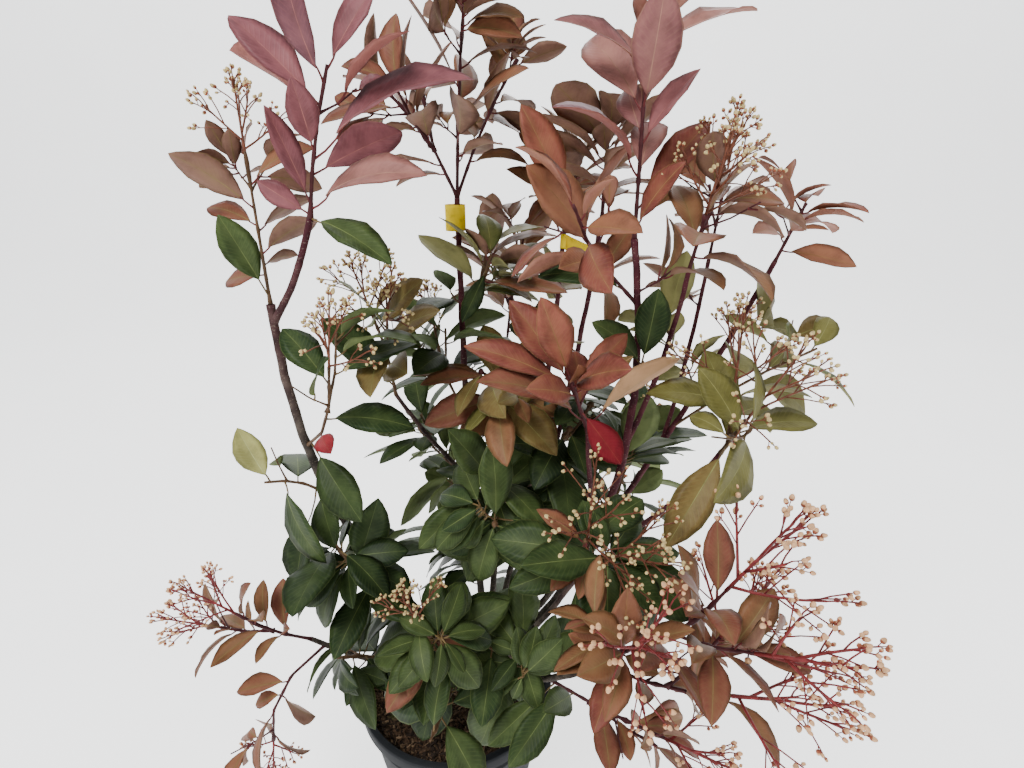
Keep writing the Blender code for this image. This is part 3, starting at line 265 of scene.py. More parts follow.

# %% [markdown]
# The largest leaves are listed shoot by shoot: the share of the shoot that one leaves at, where
# its tip lies from there in metres, the way its face looks, its droop, its tint, its width as a share
# of its length, and its stalk likewise.

# %% Table of leading leaves
Lead = namedtuple("Lead", "at tip face droop tint wide stalk", defaults=(0.46, 0.18))
LEADS = {
    "leader_left": (
        (0.75, (-0.075, 0.020, 0.070), (0.3, -0.8, 0.5), 0.3, "wine"),
        (0.88, (-0.010, -0.035, 0.080), (-0.4, -0.9, 0.1), 0.5, "wine"),
        (0.97, (0.045, 0.005, 0.060), (-0.5, -0.8, 0.2), 0.2, "wine"),
        (0.45, (0.000, -0.035, 0.055), (0.4, -0.9, 0.2), 0.3, "wine", 0.52),
        (0.40, (0.145, 0.015, 0.065), (-0.3, -0.5, 0.8), 0.9, "wine", 0.40, 0.24),
        (0.06, (0.115, -0.030, 0.030), (-0.2, -0.5, 0.8), 0.9, "rose", 0.40, 0.24),
        (0.10, (-0.020, -0.025, 0.080), (0.6, -0.8, 0.1), 0.3, "wine", 0.36),
        (0.02, (-0.045, 0.000, 0.030), (0.3, -0.9, 0.1), 0.2, "wine", 0.50),
        (0.00, (0.085, -0.055, -0.035), (0.1, -0.6, 0.7), 0.6, "green", 0.40, 0.20),
    ),
    "flower_left": ((0.05, (-0.025, -0.025, 0.085), (0.3, -0.8, 0.5), 0.3, "green", 0.50, 0.30),),
    "leader_right": (
        (0.60, (0.000, -0.045, 0.085), (0.0, -1.0, 0.0), 0.2, "rose", 0.52),
        (0.78, (-0.080, 0.000, 0.035), (0.2, -0.5, 0.8), 0.6, "rose"),
        (0.85, (0.100, 0.030, 0.035), (-0.1, -0.5, 0.9), 0.5, "rose", 0.40),
        (0.45, (0.045, -0.005, 0.060), (-0.5, -0.6, 0.6), 0.5, "wine"),
        (0.30, (-0.085, -0.045, 0.055), (0.3, -0.3, 0.9), 1.0, "wine", 0.44, 0.24),
        (0.14, (0.075, 0.050, 0.080), (-0.2, -0.8, 0.5), 0.4, "coral", 0.36),
        (0.05, (0.030, -0.040, 0.060), (-0.6, -0.6, 0.4), 0.5, "coral", 0.40),
    ),
    "coral_upper": (
        (0.45, (-0.065, -0.040, 0.075), (0.4, -0.8, 0.3), 0.5, "coral", 0.52),
        (0.75, (-0.045, -0.005, 0.085), (0.3, -0.9, 0.2), 0.3, "coral"),
        (0.35, (-0.045, -0.065, 0.005), (0.2, -0.6, 0.7), 0.4, "coral"),
        (0.10, (-0.085, 0.010, 0.010), (0.1, -0.6, 0.8), 1.1, "green", 0.42, 0.10),
    ),
    "coral_middle": (
        (0.95, (-0.030, -0.005, 0.080), (0.2, -1.0, 0.0), 0.2, "coral", 0.52),
        (0.88, (0.000, -0.045, 0.035), (0.2, -1.0, 0.3), 0.2, "coral", 0.40),
        (0.85, (-0.060, 0.030, 0.075), (0.4, -0.9, 0.2), 0.3, "coral"),
        (0.75, (-0.105, 0.000, 0.045), (0.2, -0.5, 0.8), 0.6, "coral", 0.36, 0.24),
        (0.66, (-0.050, -0.055, 0.030), (0.3, -0.6, 0.6), 0.4, "coral"),
        (0.20, (-0.105, -0.045, 0.060), (0.2, -0.4, 0.9), 0.9, "bronze", 0.44, 0.24),
        (0.70, (0.045, -0.035, 0.050), (-0.5, -0.8, 0.2), 0.2, "peach", 0.34),
        (0.78, (0.055, 0.035, 0.045), (-0.2, -0.9, 0.4), 0.3, "coral", 0.40),
        (0.12, (0.090, 0.005, 0.070), (-0.4, 0.7, 0.5), 0.3, "peach", 0.44, 0.24),
        (0.40, (0.040, -0.020, -0.050), (0.2, -0.9, 0.3), 0.3, "crimson", 0.56),
    ),
    "flower_inner_left": ((0.10, (-0.065, -0.040, 0.095), (0.3, -0.6, 0.7), 0.5, "green", 0.44, 0.24),),
    "flower_left_inner": (
        (0.30, (0.025, -0.045, 0.000), (0.3, -0.9, 0.3), 0.3, "crimson", 0.56),
        (0.05, (0.065, -0.055, -0.070), (0.2, -0.9, 0.3), 0.3, "deep", 0.54, 0.25),
    ),
    "spray_left_outer": (
        (0.90, (-0.020, -0.010, 0.075), (0.1, -1.0, 0.3), 0.3, "lime", 0.52),
        (0.04, (0.025, -0.040, -0.055), (-0.1, -0.9, 0.4), 0.3, "deep", 0.66),
        (0.10, (-0.030, -0.030, -0.120), (-0.3, -0.8, 0.5), 0.3, "deep", 0.56, 0.50),
    ),
    "spray_left_low": (
        (0.50, (0.035, 0.000, 0.100), (0.2, -1.0, 0.1), 0.2, "deep", 0.54),
        (0.10, (-0.035, -0.085, -0.050), (-0.2, -0.6, 0.7), 0.3, "green", 0.50),
    ),
    "green_middle": (
        (0.95, (-0.080, -0.050, -0.060), (-0.1, -0.8, 0.5), 0.4, "green", 0.48, 0.45),
        (0.98, (-0.040, -0.045, 0.085), (0.3, -0.8, 0.5), 0.3, "green", 0.50),
        (0.90, (0.030, -0.065, -0.060), (0.1, -0.8, 0.5), 0.3, "green", 0.54, 0.30),
    ),
    "green_inner": (
        (0.60, (-0.065, -0.065, 0.045), (0.1, -0.7, 0.7), 0.3, "green", 0.60, 0.30),
        (0.97, (0.015, -0.050, -0.030), (0.2, -0.8, 0.5), 0.3, "green", 0.60),
    ),
    "spray_centre": ((0.80, (-0.030, -0.025, -0.060), (0.3, -0.9, 0.2), 0.2, "deep", 0.38),),
    "foot_left": ((0.40, (-0.030, -0.060, -0.015), (-0.3, -0.5, 0.8), 0.4, "green", 0.60),),
    "foot_front": (
        (0.85, (-0.040, -0.065, -0.010), (-0.1, -0.5, 0.9), 0.4, "deep", 0.50),
        (0.95, (-0.005, -0.080, -0.010), (0.0, -0.7, 0.6), 0.4, "green", 0.60),
    ),
    "flower_front_left": (
        (0.50, (0.015, -0.065, 0.025), (0.1, -0.5, 0.8), 0.3, "green", 0.66),
        (0.85, (-0.015, -0.050, -0.040), (0.2, -0.8, 0.5), 0.3, "bronze", 0.36),
    ),
    "flower_front": ((0.20, (-0.080, -0.025, -0.015), (0.1, -0.7, 0.7), 0.4, "green", 0.52),),
    "foot_right": ((0.95, (-0.035, -0.040, -0.015), (-0.1, -0.6, 0.8), 0.3, "deep", 0.50),),
    "flower_low_right": (
        (0.02, (-0.080, -0.040, -0.055), (0.1, -0.6, 0.8), 0.3, "green", 0.46, 0.30),
        (0.10, (-0.065, -0.065, -0.045), (0.0, -0.7, 0.7), 0.3, "green"),
        (0.20, (-0.040, -0.055, 0.040), (0.1, -0.6, 0.8), 0.3, "green", 0.50),
    ),
    "flower_right_low": (
        (0.30, (-0.065, -0.050, -0.085), (-0.3, -0.8, 0.5), 0.4, "olive", 0.40),
        (0.55, (-0.015, 0.065, 0.065), (0.2, -0.9, 0.3), 0.3, "olive", 0.56, 0.30),
    ),
    "flower_near_left": (
        (0.40, (-0.005, -0.020, 0.095), (-0.1, -1.0, 0.0), 0.3, "coral", 0.36),
        (0.30, (-0.050, -0.010, 0.035), (0.2, -0.8, 0.6), 0.3, "coral"),
        (0.20, (-0.030, -0.060, -0.025), (0.0, -0.7, 0.7), 0.4, "coral"),
    ),
}
LEAD_FOLD = 0.35
print("leading leaves:", sum(map(len, LEADS.values())))

# %% [markdown]
# All the other leaves, the twigs and the flower heads follow from shares and ranges. The rule draws
# each leaf's size, fold and droop from its range with a seeded random number, so it grows the same
# plant in each run.

# %% Sizes of twigs, leaves and flower heads
# A shoot is moved out from its limb in small steps until it stands clear. A limb's and a shoot's line
# are cut into a few straight steps
SEAT_STEP = 0.001
LIMB_STEPS = 8
SHOOT_STEPS = 3
SHOOT_RADII = (0.0020, 0.0013)

# Twigs leave a shoot's middle stretch, and need more room than they fill. A twig's aim has a share
# of its shoot's heading, of the side it leaves at, and of straight up
TWIG_RADII = (0.0014, 0.0013, 0.0012)
TWIG_STRETCH = (0.30, 0.60)
TWIG_REACH = (0.05, 0.6)
TWIG_BOW = -0.004
TWIG_TURNS = (100, 150)
TWIG_AIM = (0.8, 0.7, 0.2)
TWIG_ROOM = 0.003
TWIG_LEAVES = 3

# Leaves start at a share of their twig: low on a shoot that ends a limb, higher on one that leaves
# its side
TIP_START = 0.12
SIDE_START = 0.30
TWIG_START = 0.35
LEAF_TURN = math.radians(137.5)
LEAF_OFFSET = 0.6
LAST_SHARE = 0.995
TURN_SPREAD = 0.25
LEAF_TRIES = 8
TRY_STEP = 0.37
LEAF_ROOM = 0.0012
LEAF_THICKNESS = 0.0014

# Leaves near a twig's tip are smaller and lean closer to it
LEAN_SPREAD = 12
TIP_LEAN = 30
TIP_FROM = 0.75
TIP_SMALLER = 0.3
LEAF_SIZES = (0.80, 1.08)
STALK_SHARES = (0.12, 0.18)
DROOPS = (0.25, 0.95)

# An old leaf is wider and flatter than a young one. A face looks along its twig and to the sky, and
# an old one also outwards, in these shares
OLD_TINTS = ("olive", "green", "deep")
YOUNG_WIDTHS = (0.44, 0.53)
YOUNG_FOLDS = (0.15, 0.50)
OLD_WIDER = 1.12
OLD_FLATTER = 0.5
FACE_SHARES = (0.45, 0.65, 0.40)
OUTLINE_SKEW = 1.1
OUTLINE_FULL = 0.8
LEAF_STEPS = (0.26, 0.66)
FLATTER = 0.3
ROOT_RADIUS = 0.0004
THIRDS = [math.radians(angle) for angle in (30, 150, 270)]

# A flower head's axis and rays. The higher a ray leaves the axis, the closer it leans to it and the
# shorter it is. Its neck and brim are shares of its length, and its clump of buds one of the head's
# width
HEAD_SINK = 0.003
HEAD_SMALLER = 0.12
AXIS_SHARE = 0.5
AXIS_RADII = (0.0013, 0.0010)
RAYS = 4
RAY_START, RAY_SPAN = 0.12, 0.83
RAY_LEAN, RAY_LEAN_FALL = 62, 52
RAY_REACH, RAY_REACH_FALL = 0.78, 0.28
RAY_SIZES = (0.9, 1.1)
RAY_CLEAR = 0.2
RAY_NECK = 0.62
RAY_BRIM = 0.88
NECK_RADIUS = 0.0010
CLUMP_SHARE = 0.13

# Plain ties, each a band round a limb at a share of its length with a flat tail. Turn is the band's
# turn about the limb, reach how far along the tail its middle stands from the limb, tilt how far it
# hangs down
TAG_THICKNESS = 0.0009
TAG_ROOM = 0.7
Tag = namedtuple("Tag", "name limb at width height tilt turn reach")
TAGS = (
    Tag("tag_centre", "stem_centre", 0.965, 0.026, 0.030, 0, 95, 0.1),
    Tag("tag_right", "stem_back_right", 0.965, 0.036, 0.018, 20, 260, 0.45),
)

Leaf = namedtuple("Leaf", "root out up stalk length width droop fold tint")
Ray = namedtuple("Ray", "foot top spread")
print("rays of a flower head:", RAYS + 1, " tags:", len(TAGS))

# %% [markdown]
# ## The growing rule
#
# The rule is a few short functions. The first ones deal with lines: a bowed line between two places,
# a place along a line, and a direction beside it.

# %% Lines
def bowed(start, tip, bow, steps):
    """Points of a line from start to tip whose middle is lifted off the straight line by bow."""
    start = Vector(start)
    tip = Vector(tip)
    chord = (tip - start).normalized()
    lift = (UP - UP.dot(chord) * chord).normalized()
    bend = (start + tip) / 2 + 2 * bow * lift
    line = []
    for i in range(steps + 1):
        t = i / steps
        line.append((1 - t) ** 2 * start + 2 * t * (1 - t) * bend + t ** 2 * tip)
    return line


def length_of(line):
    return sum((b - a).length for a, b in zip(line, line[1:]))


def along(line, share):
    """The point and the heading at a share of a line's length."""
    lengths = [(b - a).length for a, b in zip(line, line[1:])]
    reach = share * sum(lengths)
    for a, b, length in zip(line, line[1:], lengths):
        if reach <= length or b is line[-1]:
            return a.lerp(b, min(1, reach / length)), (b - a).normalized()
        reach -= length


def cut_from(line, share, steps):
    """The line from a share of its length to its tip."""
    return [along(line, share + (1 - share) * i / steps)[0] for i in range(steps + 1)]


def tapered(foot_radius, tip_radius, share, count):
    """Radii of a limb's points from a share of its length to its tip."""
    shares = [share + (1 - share) * i / (count - 1) for i in range(count)]
    return [foot_radius + (tip_radius - foot_radius) * s for s in shares]


def beside(heading, turn):
    """A direction square to a heading, turned about it from the right."""
    start = RIGHT if abs(heading.x) < 0.9 else UP
    side = (start - start.dot(heading) * heading).normalized()
    return Quaternion(heading, turn) @ side


def aimed(heading, side, shares):
    """A direction with a share of a heading, of a side and of straight up."""
    return (heading * shares[0] + side * shares[1] + UP * shares[2]).normalized()

# %% [markdown]
# A shape is a list of points and a list of faces. Rings of points joined by faces make tubes, leaves
# and flower rays. These coarse shapes are the ones that the solids have. Here they only keep room for
# the finer ones.

# %% Coarse shapes
def ring_of(point, heading, side, radius, count):
    """Points round a heading at a radius."""
    turns = [Quaternion(heading, 2 * math.pi * k / count) for k in range(count)]
    return [point + radius * (turn @ side) for turn in turns]


def loft(rings, tip=None):
    """A closed shape through rings of as many points each, to a flat end or to a tip."""
    count = len(rings[0])
    points = [point for ring in rings for point in ring]
    faces = [tuple(reversed(range(count)))]
    for row in range(len(rings) - 1):
        for i in range(count):
            a = row * count + i
            b = row * count + (i + 1) % count
            faces += [(a, b, b + count), (a, b + count, a + count)]
    last = (len(rings) - 1) * count
    if tip is None:
        faces.append(tuple(range(last, last + count)))
    else:
        points.append(tip)
        faces += [(last + i, last + (i + 1) % count, len(points) - 1) for i in range(count)]
    return points, faces


def tube(line, radii, sides=3):
    """A closed tapering tube round a line."""
    heading = (line[1] - line[0]).normalized()
    side = heading.orthogonal().normalized()
    rings = []
    for i, (point, radius) in enumerate(zip(line, radii)):
        heading = (line[min(i + 1, len(line) - 1)] - line[max(i - 1, 0)]).normalized()
        side = (side - side.dot(heading) * heading).normalized()
        rings.append(ring_of(point, heading, side, radius, sides))
    return loft(rings)


def seated_share(line, foot_radius, tip_radius, steps, trees):
    """The share of a line's length past which a tube round it lies a gap clear of the solids."""
    length = length_of(line)

    def touches(reach):
        share = reach / length
        radii = [radius + 2 * GAP for radius in tapered(foot_radius, tip_radius, share, steps + 1)]
        trial = BVHTree.FromPolygons(*tube(cut_from(line, share, steps), radii))
        return any(trial.overlap(tree) for tree in trees)

    reach = 0
    while touches(reach):
        reach += SEAT_STEP
    reach = max(0, reach - SEAT_STEP)
    while touches(reach):
        reach += SEAT_STEP / 20
    return (reach + GAP) / length


def outline(t):
    """A leaf's half width at t along it: a wedge at the foot, widest past the middle, a pointed tip."""
    return math.sin(math.pi * t ** OUTLINE_SKEW) ** OUTLINE_FULL if 0 < t < 1 else 0


def blade(leaf, t, side=0, lift=0):
    """A point of a leaf's curved and folded blade, t along it and side of its half width across."""
    bend = leaf.droop * t
    run = leaf.length / leaf.droop
    middle = leaf.root + (leaf.stalk + run * math.sin(bend)) * leaf.out
    middle -= run * (1 - math.cos(bend)) * leaf.up
    up = math.cos(bend) * leaf.up + math.sin(bend) * leaf.out
    across = leaf.up.cross(leaf.out)
    half = leaf.width / 2 * outline(t)
    rise = abs(side) * half * math.sin(leaf.fold) + lift
    return middle + side * half * math.cos(leaf.fold) * across + rise * up


def leaf_shape(leaf, swell=0):
    """A leaf as a thin closed blade on its stalk, thicker by a swell."""
    across = leaf.up.cross(leaf.out)
    spokes = [math.cos(a) * across + math.sin(a) * leaf.up for a in THIRDS]
    rings = [[leaf.root + ROOT_RADIUS * spoke for spoke in spokes]]
    flat = leaf._replace(width=leaf.width + 2 * swell, fold=leaf.fold * FLATTER)
    for t in LEAF_STEPS:
        keel = blade(leaf, t, 0, -LEAF_THICKNESS - swell)
        rings.append([blade(flat, t, 1, swell), blade(flat, t, -1, swell), keel])
    return loft(rings, blade(leaf, 1))


def ray_shape(ray):
    """A flower ray that opens into a flat-topped clump of buds."""
    heading = (ray.top - ray.foot).normalized()
    side = heading.orthogonal().normalized()
    neck = ray.foot.lerp(ray.top, RAY_NECK)
    brim = ray.foot.lerp(ray.top, RAY_BRIM)
    widths = ((ray.foot, ROOT_RADIUS), (neck, NECK_RADIUS), (brim, ray.spread))
    return loft([ring_of(point, heading, side, radius, 3) for point, radius in widths], ray.top)

# %% [markdown]
# Nothing may grow through anything else. A space remembers every shape that stands in the crown, each
# with a tree of its faces, so that a new shape is quickly tested against all of them.

# %% Room in the crown
def corners_of(points):
    """The lowest and the highest corner of the box round some points."""
    return [[pick(p[i] for p in points) for i in range(3)] for pick in (min, max)]


class Space:
    """What stands in the crown, so that nothing grows through it."""

    def __init__(self):
        self.taken = []

    def take(self, shape, owner):
        points, faces = shape
        low, high = corners_of(points)
        self.taken.append((low, high, BVHTree.FromPolygons(points, faces), owner))

    def free(self, shape, apart_from):
        """Whether a shape crosses nothing, apart from what it grows on."""
        points, faces = shape
        low, high = corners_of(points)
        tree = BVHTree.FromPolygons(points, faces)
        for other_low, other_high, other, owner in self.taken:
            if owner in apart_from:
                continue
            if any(low[i] > other_high[i] or high[i] < other_low[i] for i in range(3)):
                continue
            if tree.overlap(other):
                return False
        return True

# %% [markdown]
# Leaves stand in a spiral, each turned 137.5 degrees from the one before, and lean closer to the twig
# near its tip. A leaf that finds no free place is tried a few more times and then skipped. A leaf that
# is listed one by one is worked back from the place of its tip.

# %% Growing leaves
def grown_leaf(rng, shoot, point, heading, turn, share):
    """A leaf at a share of its twig, turned round it. It leans closer to the twig near the tip."""
    old = shoot.tint in OLD_TINTS
    side = beside(heading, turn)
    lean = math.radians(shoot.lean + rng.uniform(-LEAN_SPREAD, LEAN_SPREAD) - TIP_LEAN * share)
    out = (heading * math.cos(lean) + side * math.sin(lean)).normalized()
    inner = heading * math.sin(lean) - side * math.cos(lean)
    outwards = Vector((point.x, point.y, 0)).normalized() * old
    face = inner * FACE_SHARES[0] + UP * FACE_SHARES[1] + outwards * FACE_SHARES[2]
    face = (face - face.dot(out) * out).normalized()
    face = Quaternion(out, math.radians(rng.uniform(-shoot.twist, shoot.twist))) @ face
    tip_share = max(0, share - TIP_FROM) / (1 - TIP_FROM)
    length = shoot.leaf * rng.uniform(*LEAF_SIZES) * (1 - TIP_SMALLER * tip_share)
    width = length * rng.uniform(*YOUNG_WIDTHS) * (OLD_WIDER if old else 1)
    fold = rng.uniform(*YOUNG_FOLDS) * (OLD_FLATTER if old else 1)
    return Leaf(point, out, face, length * rng.uniform(*STALK_SHARES), length, width,
                rng.uniform(*DROOPS), fold, shoot.tint)


def take_leaf(space, leaf, name):
    """Take a leaf's room if it is free."""
    shape = leaf_shape(leaf)
    own = (name + " twigs",)
    if space.free(shape, own) and space.free(leaf_shape(leaf, LEAF_ROOM), own):
        space.take(shape, name)
        return True
    return False


def leading_leaf(lead, stem):
    """A listed leaf, its arch and length worked out so that its tip lies where it is wanted."""
    point, _ = along(stem, lead.at)
    tip = Vector(lead.tip)
    aim = tip.normalized()
    face = Vector(lead.face)
    face = (face - face.dot(aim) * aim).normalized()
    ahead = lead.stalk + math.sin(lead.droop) / lead.droop
    below = (1 - math.cos(lead.droop)) / lead.droop
    length = tip.length / math.hypot(ahead, below)
    rise = math.atan2(below, ahead)
    out = aim * math.cos(rise) + face * math.sin(rise)
    up = face * math.cos(rise) - aim * math.sin(rise)
    sizes = (lead.stalk * length, length, lead.wide * length)
    return Leaf(point, out, up, *sizes, lead.droop, LEAD_FOLD, lead.tint)


def grow_leads(space, name, stem):
    """The leaves of a shoot that are listed one by one. One that would cross anything is left out."""
    leaves = [leading_leaf(Lead(*row), stem) for row in LEADS.get(name, ())]
    return [leaf for leaf in leaves if take_leaf(space, leaf, name)]


def grow_leaves(rng, space, shoot, line, count, first, turn):
    """Leaves in a spiral from a share of a twig to its tip. One that finds no free place is skipped."""
    leaves = []
    for i in range(count):
        share = first + (1 - first) * (i + LEAF_OFFSET) / count
        point, heading = along(line, min(share, LAST_SHARE))
        for attempt in range(LEAF_TRIES):
            angle = turn + (i + attempt * TRY_STEP) * LEAF_TURN + rng.uniform(-TURN_SPREAD, TURN_SPREAD)
            leaf = grown_leaf(rng, shoot, point, heading, angle, share)
            if take_leaf(space, leaf, shoot.name):
                leaves.append(leaf)
                break
    return leaves

# %% [markdown]
# A flower head is a short axis with rays. The lowest rays are the longest, so that its top is nearly
# flat, and the last one carries on from the axis.

# %% Growing flower heads
def grow_head(rng, space, shoot, point, heading, size):
    """A flower head: an axis with rays in a spiral, the lower ones longer, so that its top is flat."""
    axis = [point - heading * HEAD_SINK, point + heading * size * AXIS_SHARE]
    space.take(tube(axis, AXIS_RADII), shoot.name + " twigs")
    rays = []
    turn = rng.uniform(0, 2 * math.pi)
    for i in range(RAYS + 1):
        share = RAY_START + RAY_SPAN * i / RAYS
        foot = axis[0].lerp(axis[1], share)
        side = beside(heading, turn + i * LEAF_TURN)
        lean = math.radians(RAY_LEAN - RAY_LEAN_FALL * share) * (i < RAYS)
        out = heading * math.cos(lean) + side * math.sin(lean)
        reach = size * (RAY_REACH - RAY_REACH_FALL * share) * rng.uniform(*RAY_SIZES)
        ray = Ray(foot, foot + out * reach, size * CLUMP_SHARE)
        outer = ray._replace(foot=foot.lerp(ray.top, RAY_CLEAR))
        if space.free(ray_shape(outer), (shoot.name + " twigs",)):
            space.take(ray_shape(ray), shoot.name)
            rays.append(ray)
    return axis, rays

# %% [markdown]
# A limb runs from a place on its parent to its named tip. Each shoot starts where its tube first
# stands clear of the limb that carries it, and then carries its twigs, heads and leaves.

# %% Limbs, shoots and masses
def limb_lines():
    """The line and radii of the trunk and of every limb from its parent's middle to its tip."""
    rise = bowed(TRUNK_FOOT + UP * TRUNK_FLARE, TRUNK_TOP, 0, len(TRUNK_RADII) - 2)
    lines = {"trunk": ([TRUNK_FOOT] + rise, TRUNK_RADII)}
    for limb in LIMBS:
        foot, _ = along(lines[limb.parent][0], limb.at)
        line = bowed(foot, limb.tip, limb.bow, LIMB_STEPS)
        lines[limb.name] = (line, tapered(limb.foot_radius, limb.tip_radius, 0, LIMB_STEPS + 1))
    return lines


def shoot_stems(lines, trees):
    """The stem of every shoot, which starts a gap clear of the solids that stand already."""
    stems = {}
    for shoot in SHOOTS:
        foot, _ = along(lines[shoot.parent][0], shoot.at)
        line = bowed(foot, shoot.tip, shoot.bow, SHOOT_STEPS)
        start = seated_share(line, *SHOOT_RADII, SHOOT_STEPS, trees)
        stem = cut_from(line, start, SHOOT_STEPS)
        stems[shoot.name] = stem, tapered(*SHOOT_RADII, start, SHOOT_STEPS + 1)
        trees.append(BVHTree.FromPolygons(*tube(*stems[shoot.name])))
    return stems


def grow(space, stems):
    """The stem, twigs, leaves, flower axes and rays of every mass."""
    for name, (stem, radii) in stems.items():
        space.take(tube(stem, radii), name + " twigs")
    masses = {}
    for number, shoot in enumerate(SHOOTS):
        rng = random.Random(number)
        stem, radii = stems[shoot.name]
        twigs, heads = [], []
        length = length_of(stem)
        for k in range(shoot.twigs):
            point, heading = along(stem, rng.uniform(*TWIG_STRETCH))
            side = beside(heading, math.radians(shoot.turn + TWIG_TURNS[0] + TWIG_TURNS[1] * k))
            out = aimed(heading, side, TWIG_AIM)
            reach = max(TWIG_REACH[0], length * TWIG_REACH[1])
            twig = bowed(point, point + out * reach, TWIG_BOW, 2)
            if space.free(tube(twig, [TWIG_ROOM] * 3), (shoot.name + " twigs",)):
                space.take(tube(twig, TWIG_RADII), shoot.name + " twigs")
                twigs.append(twig)
        ends = [along(branch, 1) for branch in [stem] + twigs]
        for k, (point, heading) in enumerate(ends[:shoot.heads]):
            heads.append(grow_head(rng, space, shoot, point, heading, shoot.head * (1 - HEAD_SMALLER * k)))
        masses[shoot.name] = [shoot, rng, stem, radii, twigs, heads]
    leads = {name: grow_leads(space, name, mass[2]) for name, mass in masses.items()}
    for name, mass in masses.items():
        shoot, rng, stem, radii, twigs, heads = mass
        turn = math.radians(shoot.turn)
        first = TIP_START if shoot.at == 1 else SIDE_START
        leaves = leads[name]
        leaves += grow_leaves(rng, space, shoot, stem, shoot.leaves - TWIG_LEAVES * shoot.twigs, first, turn)
        for k, twig in enumerate(twigs):
            leaves += grow_leaves(rng, space, shoot, twig, TWIG_LEAVES, TWIG_START, turn + 2 * k)
        mass.append(leaves)
    return masses

# %% [markdown]
# ## Growing the plant again
#
# The rule runs once more with the same seeds and the same named sizes. The skin of the trunk and the
# limbs comes from the frame, so every shoot is seated as it is on the solids. The size of each mass is
# then compared with its solid, to show that the two plants are the same one.

# %% Growth
def solid_tree(name):
    mesh = frame["nodes"][name].data
    points = [vertex.co for vertex in mesh.vertices]
    return BVHTree.FromPolygons(points, [tuple(face.vertices) for face in mesh.polygons])


def tag_place(tag, lines):
    """A tag's middle on its limb, the limb's heading there, the band's radius and its sides."""
    line, radii = lines[tag.limb]
    point, heading = along(line, tag.at)
    side = beside(heading, math.radians(tag.turn))
    return point, heading, radii[-1] + 2 * GAP, side, heading.cross(side)


def tag_space(tag, lines):
    """The room that a tag takes in the crown."""
    point, heading, around, side, across = tag_place(tag, lines)
    tilt = math.radians(tag.tilt)
    tail = across * math.cos(tilt) - heading * math.sin(tilt)
    middle = point - side * around + tail * (tag.width * tag.reach)
    half = tail * (tag.width / 2 + around)
    return tube([middle - half, middle + half], (tag.height * TAG_ROOM, tag.height * TAG_ROOM), 6)


lines = limb_lines()
space = Space()
for name, (line, radii) in lines.items():
    space.take(tube(line, [radius + GAP for radius in radii], 6), name)
space.take(tube([Vector((0, 0, 0)), Vector((0, 0, POT_HEIGHT + 0.002))],
                (FOOT_RADIUS + 0.002, RIM_RADIUS + 0.002), POT_STEPS), "pot")
for tag in TAGS:
    space.take(tag_space(tag, lines), tag.name)
stems = shoot_stems(lines, [solid_tree(name) for name in lines])
masses = grow(space, stems)


def reach_of(mass):
    """The lowest and highest corners of a grown mass."""
    shoot, _, stem, radii, twigs, heads, leaves = mass
    shapes = [tube(stem, radii)] + [leaf_shape(leaf) for leaf in leaves]
    shapes += [tube(twig, TWIG_RADII) for twig in twigs]
    for axis, rays in heads:
        shapes += [tube(axis, AXIS_RADII)] + [ray_shape(ray) for ray in rays]
    return corners_of([point for shape in shapes for point in shape[0]])


worst = 0
for name, mass in masses.items():
    for corner, solid in zip(reach_of(mass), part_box(name)):
        worst = max(worst, np.abs(np.subtract(corner, solid)).max())
print("leaves:", sum(len(mass[-1]) for mass in masses.values()))
print("worst difference from the solids:", round(worst * 1000, 3), "mm")

# %% [markdown]
# ## Finer growth
#
# A solid holds only as many leaves as it needs to give the crown's outline. On the real plant each
# shoot has finer twigs and smaller leaves between its large ones, most of all low down, where the
# crown is old and dense. They grow by the same rule, from the same stems, and each one is kept only
# where it stays within its mass's reach and touches nothing.
#
# Three things keep the crown like the real one. The airy masses, where the sky shows between the
# leaves, get only a few small ones. Near a flower head the leaves are younger, so their tint is a
# warmer one. And no small leaf may hide the bare mix at the front of the pot, as the camera sees it.

# %% Fine twigs and small leaves
FINE_SHARES = {"wine": 0.6, "rose": 0.6, "coral": 0.8, "bronze": 1.5, "olive": 2.2, "green": 3.2, "deep": 3.4}
FINE_SEED = 1000
FINE_RADII = (0.0010, 0.0008)
FINE_STRETCH = (0.25, 0.92)
FINE_REACH = (0.030, 0.060)
FINE_BOW = -0.002
FINE_AIM = (0.6, 0.8, 0.15)
FINE_CLEAR = 0.002
FINE_ROOM = 0.0004
SMALL_LEAF = (0.45, 0.92)
REACH_SPARE = 0.006
MIX_BARE = -0.01
AIRY = ("flower_left_inner", "flower_inner_left", "spray_left_outer", "spray_centre_low",
        "flower_right_low", "spray_far_outer", "top_far", "flower_right")
AIRY_SHARE = 0.15
YOUNG_START = 0.7
YOUNGER = {"green": "bronze", "deep": "olive"}


def within(shape, low, high):
    return all(low[i] - REACH_SPARE < p[i] < high[i] + REACH_SPARE for p in shape[0] for i in range(3))


def hides_mix(leaf):
    """Whether the camera sees a leaf in front of the bare mix at the pot's front."""
    eye = Vector(CAMERA_PLACE)
    ray = leaf.root + leaf.out * (leaf.stalk + leaf.length / 2) - eye
    spot = eye + ray * ((MIX_TOP - eye.z) / ray.z) if ray.z < 0 else eye
    return spot.y < MIX_BARE and spot.xy.length < RIM_RADIUS


